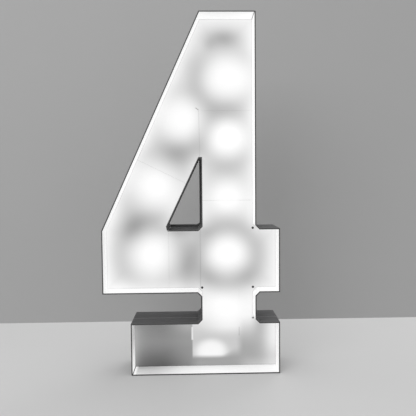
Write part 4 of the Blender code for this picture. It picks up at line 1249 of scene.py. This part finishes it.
def makeSwitch():
    housing = fromNode("switch_housing", "switch_bezel")
    roundEdges(housing, switch["rim"], 3)
    dress(housing, "blackPlastic", smooth=40)
    own(housing, "light_box", "black_plastic", "switch_housing")
    rocker = fromNode("switch_rocker", "switch_paddle")
    outward = sorted((part for part in rocker.data.polygons if part.normal.y > switch["outward"]),
                     key=lambda part: part.area)[-2:]
    spots = sorted(((part.center.copy(), part.normal.copy()) for part in outward),
                   key=lambda pair: pair[0].z)
    roundEdges(rocker, switch["rockerEdge"], 3)
    dress(rocker, "blackPlastic", smooth=40)
    own(rocker, "rocker", "black_plastic", "switch_rocker")
    corner = Vector((switch["barWidth"] / 2, switch["barLength"] / 2, switch["markDepth"]))
    bar = block("mark_bar", -corner, corner, corner.z / 2, 1)
    deselectAll()
    bpy.ops.mesh.primitive_torus_add(
        major_radius=switch["ringRadius"], minor_radius=switch["ringWire"], major_segments=32,
        minor_segments=8)
    ring = bpy.context.object
    ring.name = ring.data.name = "mark_ring"
    editAll(ring)
    bpy.ops.transform.resize(value=(1, 1, switch["ringFlat"]), center_override=(0, 0, 0))
    stopEdit()
    across = Vector((1, 0, 0))
    for item, (centre, normal) in zip((ring, bar), spots):
        turn = Matrix((across, normal.cross(across).normalized(), normal)).transposed().to_4x4()
        item.data.transform(Matrix.Translation(centre) @ turn)
        dress(item, "markPaint")
        own(item, "rocker", "knob_plastic")


makeSwitch()
print("controls made")


# Driver, with a ribbed lid, a wound coil in its core and two capacitors

driver = {
    "caseEdge": 0.0008,
    "screwShare": 0.5,
    "screwInset": 0.005,
    "ribs": [0.036, 0.0396, 0.0432, 0.0468, 0.0504],    # heights of their lower edges
    "ribHalf": 0.031,
    "ribSize": (0.0014, 0.0009),
    "ribEdge": 0.0004,
    "coreBar": 0.0045,
    "coreEdge": 0.0004,
    "coilInset": 0.0020,
    "coilInto": 0.0002,
    "coilEdge": 0.0030,
    "can": [(0.0040, 0.0), (0.0043, 0.0006), (0.0043, 0.0012), (0.0040, 0.0017), (0.0043, 0.0022),
            (0.0043, 0.0104), (0.0036, 0.0110), (0.0034, 0.0107)],
    "cans": [(-0.144, 0.044), (-0.088, 0.022)],
}


def makeDriverLid():
    low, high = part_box("driver_box_lid")
    middle = (low + high) / 2
    lid = fromNode("driver_box_lid", "driver_lid")
    roundEdges(lid, driver["caseEdge"])
    pieces = [lid]
    height, out = driver["ribSize"]
    for z in driver["ribs"]:
        pieces.append(block("rib", (middle.x - driver["ribHalf"], high.y - out, z),
                            (middle.x + driver["ribHalf"], high.y + out, z + height),
                            driver["ribEdge"]))
    for item in pieces:
        dress(item, "blackPlastic")
    inset = driver["screwInset"]
    pieces += [screwAt(backward, (x, high.y, z), driver["screwShare"])
               for x in (low.x + inset, high.x - inset) for z in (low.z + inset, high.z - inset)]
    own(joined(pieces, "driver_lid_ribbed"), "light_box", "black_plastic", "driver_box_lid")


def makeDriver():
    case = fromNode("driver_box", "driver_case")
    roundEdges(case, driver["caseEdge"])
    dress(case, "blackPlastic")
    own(case, "light_box", "black_plastic", "driver_box")
    makeDriverLid()
    low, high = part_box("driver_transformer")
    bar, inset, into = driver["coreBar"], driver["coilInset"], driver["coilInto"]
    core = [block("core", (low.x, low.y + inset, bottom), (high.x, high.y - inset, top),
                  driver["coreEdge"])
            for bottom, top in ((low.z, low.z + bar), (high.z - bar, high.z))]
    coil = block("coil", (low.x + inset, low.y, low.z + bar - into),
                 (high.x - inset, high.y, high.z - bar + into), driver["coilEdge"], 4)
    for item in core:
        dress(item, "magnetRubber")
    dress(coil, "copperWinding", smooth=50)
    own(joined([coil] + core, "driver_coil"), "light_box", "holder_plastic", "driver_transformer")
    can = turned("can", driver["can"], 24)
    dress(can, "holderPlastic", smooth=40)
    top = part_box("driver_board")[1].y
    cans = [copied(can, "capacitor", facing(backward, (x, top, z))) for x, z in driver["cans"]]
    own(joined(cans, "driver_capacitors"), "light_box", "holder_plastic")
    discard(can)


makeDriver()
print("driver made")


# Floor, backdrop and light

studio = {
    "size": 16,
    "floorDrop": 0.0003,
    "aim": (0, 0, 0.5),
    "worldStrength": 0.80,
    "floorColour": (0.60, 0.60, 0.60),
    "wallColour": (0.42, 0.42, 0.42),
    "wallY": 0.548,
    "keyPlace": (-1.6, -2.6, 2.6),
    "keySize": 2.2,
    "keyPower": 34.0,
    "rimPlace": (1.8, 2.4, 2.6),
    "rimPower": 26.0,
}


def stageMaterial(name, colour):
    material, shader, place = startMaterial(name, roughness=0.85)
    mottle = noise(place, 3.0, 3.0)
    darker = tuple(part * 0.97 for part in colour)
    feed(shader.inputs["Base Color"], tint((*darker, 1), (*colour, 1), mottle))
    return material, shader


def makeStage():
    deselectAll()
    size = studio["size"]
    bpy.ops.mesh.primitive_plane_add(size=size, location=(0, 0, -studio["floorDrop"]))
    floor = bpy.context.object
    floor.name = "floor"
    floor.data.materials.append(stageMaterial("paleFloor", studio["floorColour"])[0])
    deselectAll()
    bpy.ops.mesh.primitive_plane_add(size=size, location=(0, studio["wallY"], size / 2),
                                     rotation=(math.pi / 2, 0, 0))
    wall = bpy.context.object
    wall.name = "backdrop"
    material, shader = stageMaterial("paleBackdrop", studio["wallColour"])
    tree = material.node_tree
    clear = tree.nodes.new("ShaderNodeBsdfTransparent")
    mixed = tree.nodes.new("ShaderNodeMixShader")
    side = tree.nodes.new("ShaderNodeNewGeometry")
    feedAll(mixed.inputs, {"Fac": side.outputs["Backfacing"], 1: shader.outputs[0],
                           2: clear.outputs[0]})
    feed(tree.nodes["Material Output"].inputs["Surface"], mixed.outputs[0])
    # the backdrop is there to be seen, and takes no light away
    wall.visible_diffuse = wall.visible_shadow = False
    wall.data.materials.append(material)


def makeLights():
    world = bpy.data.worlds.new("studioWorld")
    bpy.context.scene.world = world
    world.use_nodes = True
    light = world.node_tree.nodes["Background"]
    feedAll(light.inputs, {"Color": (1, 1, 1, 1), "Strength": studio["worldStrength"]})
    for name, place, power in (("keyLight", studio["keyPlace"], studio["keyPower"]),
                               ("rearLight", studio["rimPlace"], studio["rimPower"])):
        lamp = bpy.data.objects.new(name, bpy.data.lights.new(name, "AREA"))
        bpy.context.scene.collection.objects.link(lamp)
        lamp.data.energy = power
        lamp.data.size = studio["keySize"]
        lamp.location = place
        aim = Vector(studio["aim"]) - Vector(place)
        lamp.rotation_euler = aim.to_track_quat("-Z", "Y").to_euler()


makeStage()
makeLights()
print("stage and light set")

discard(screwHead)
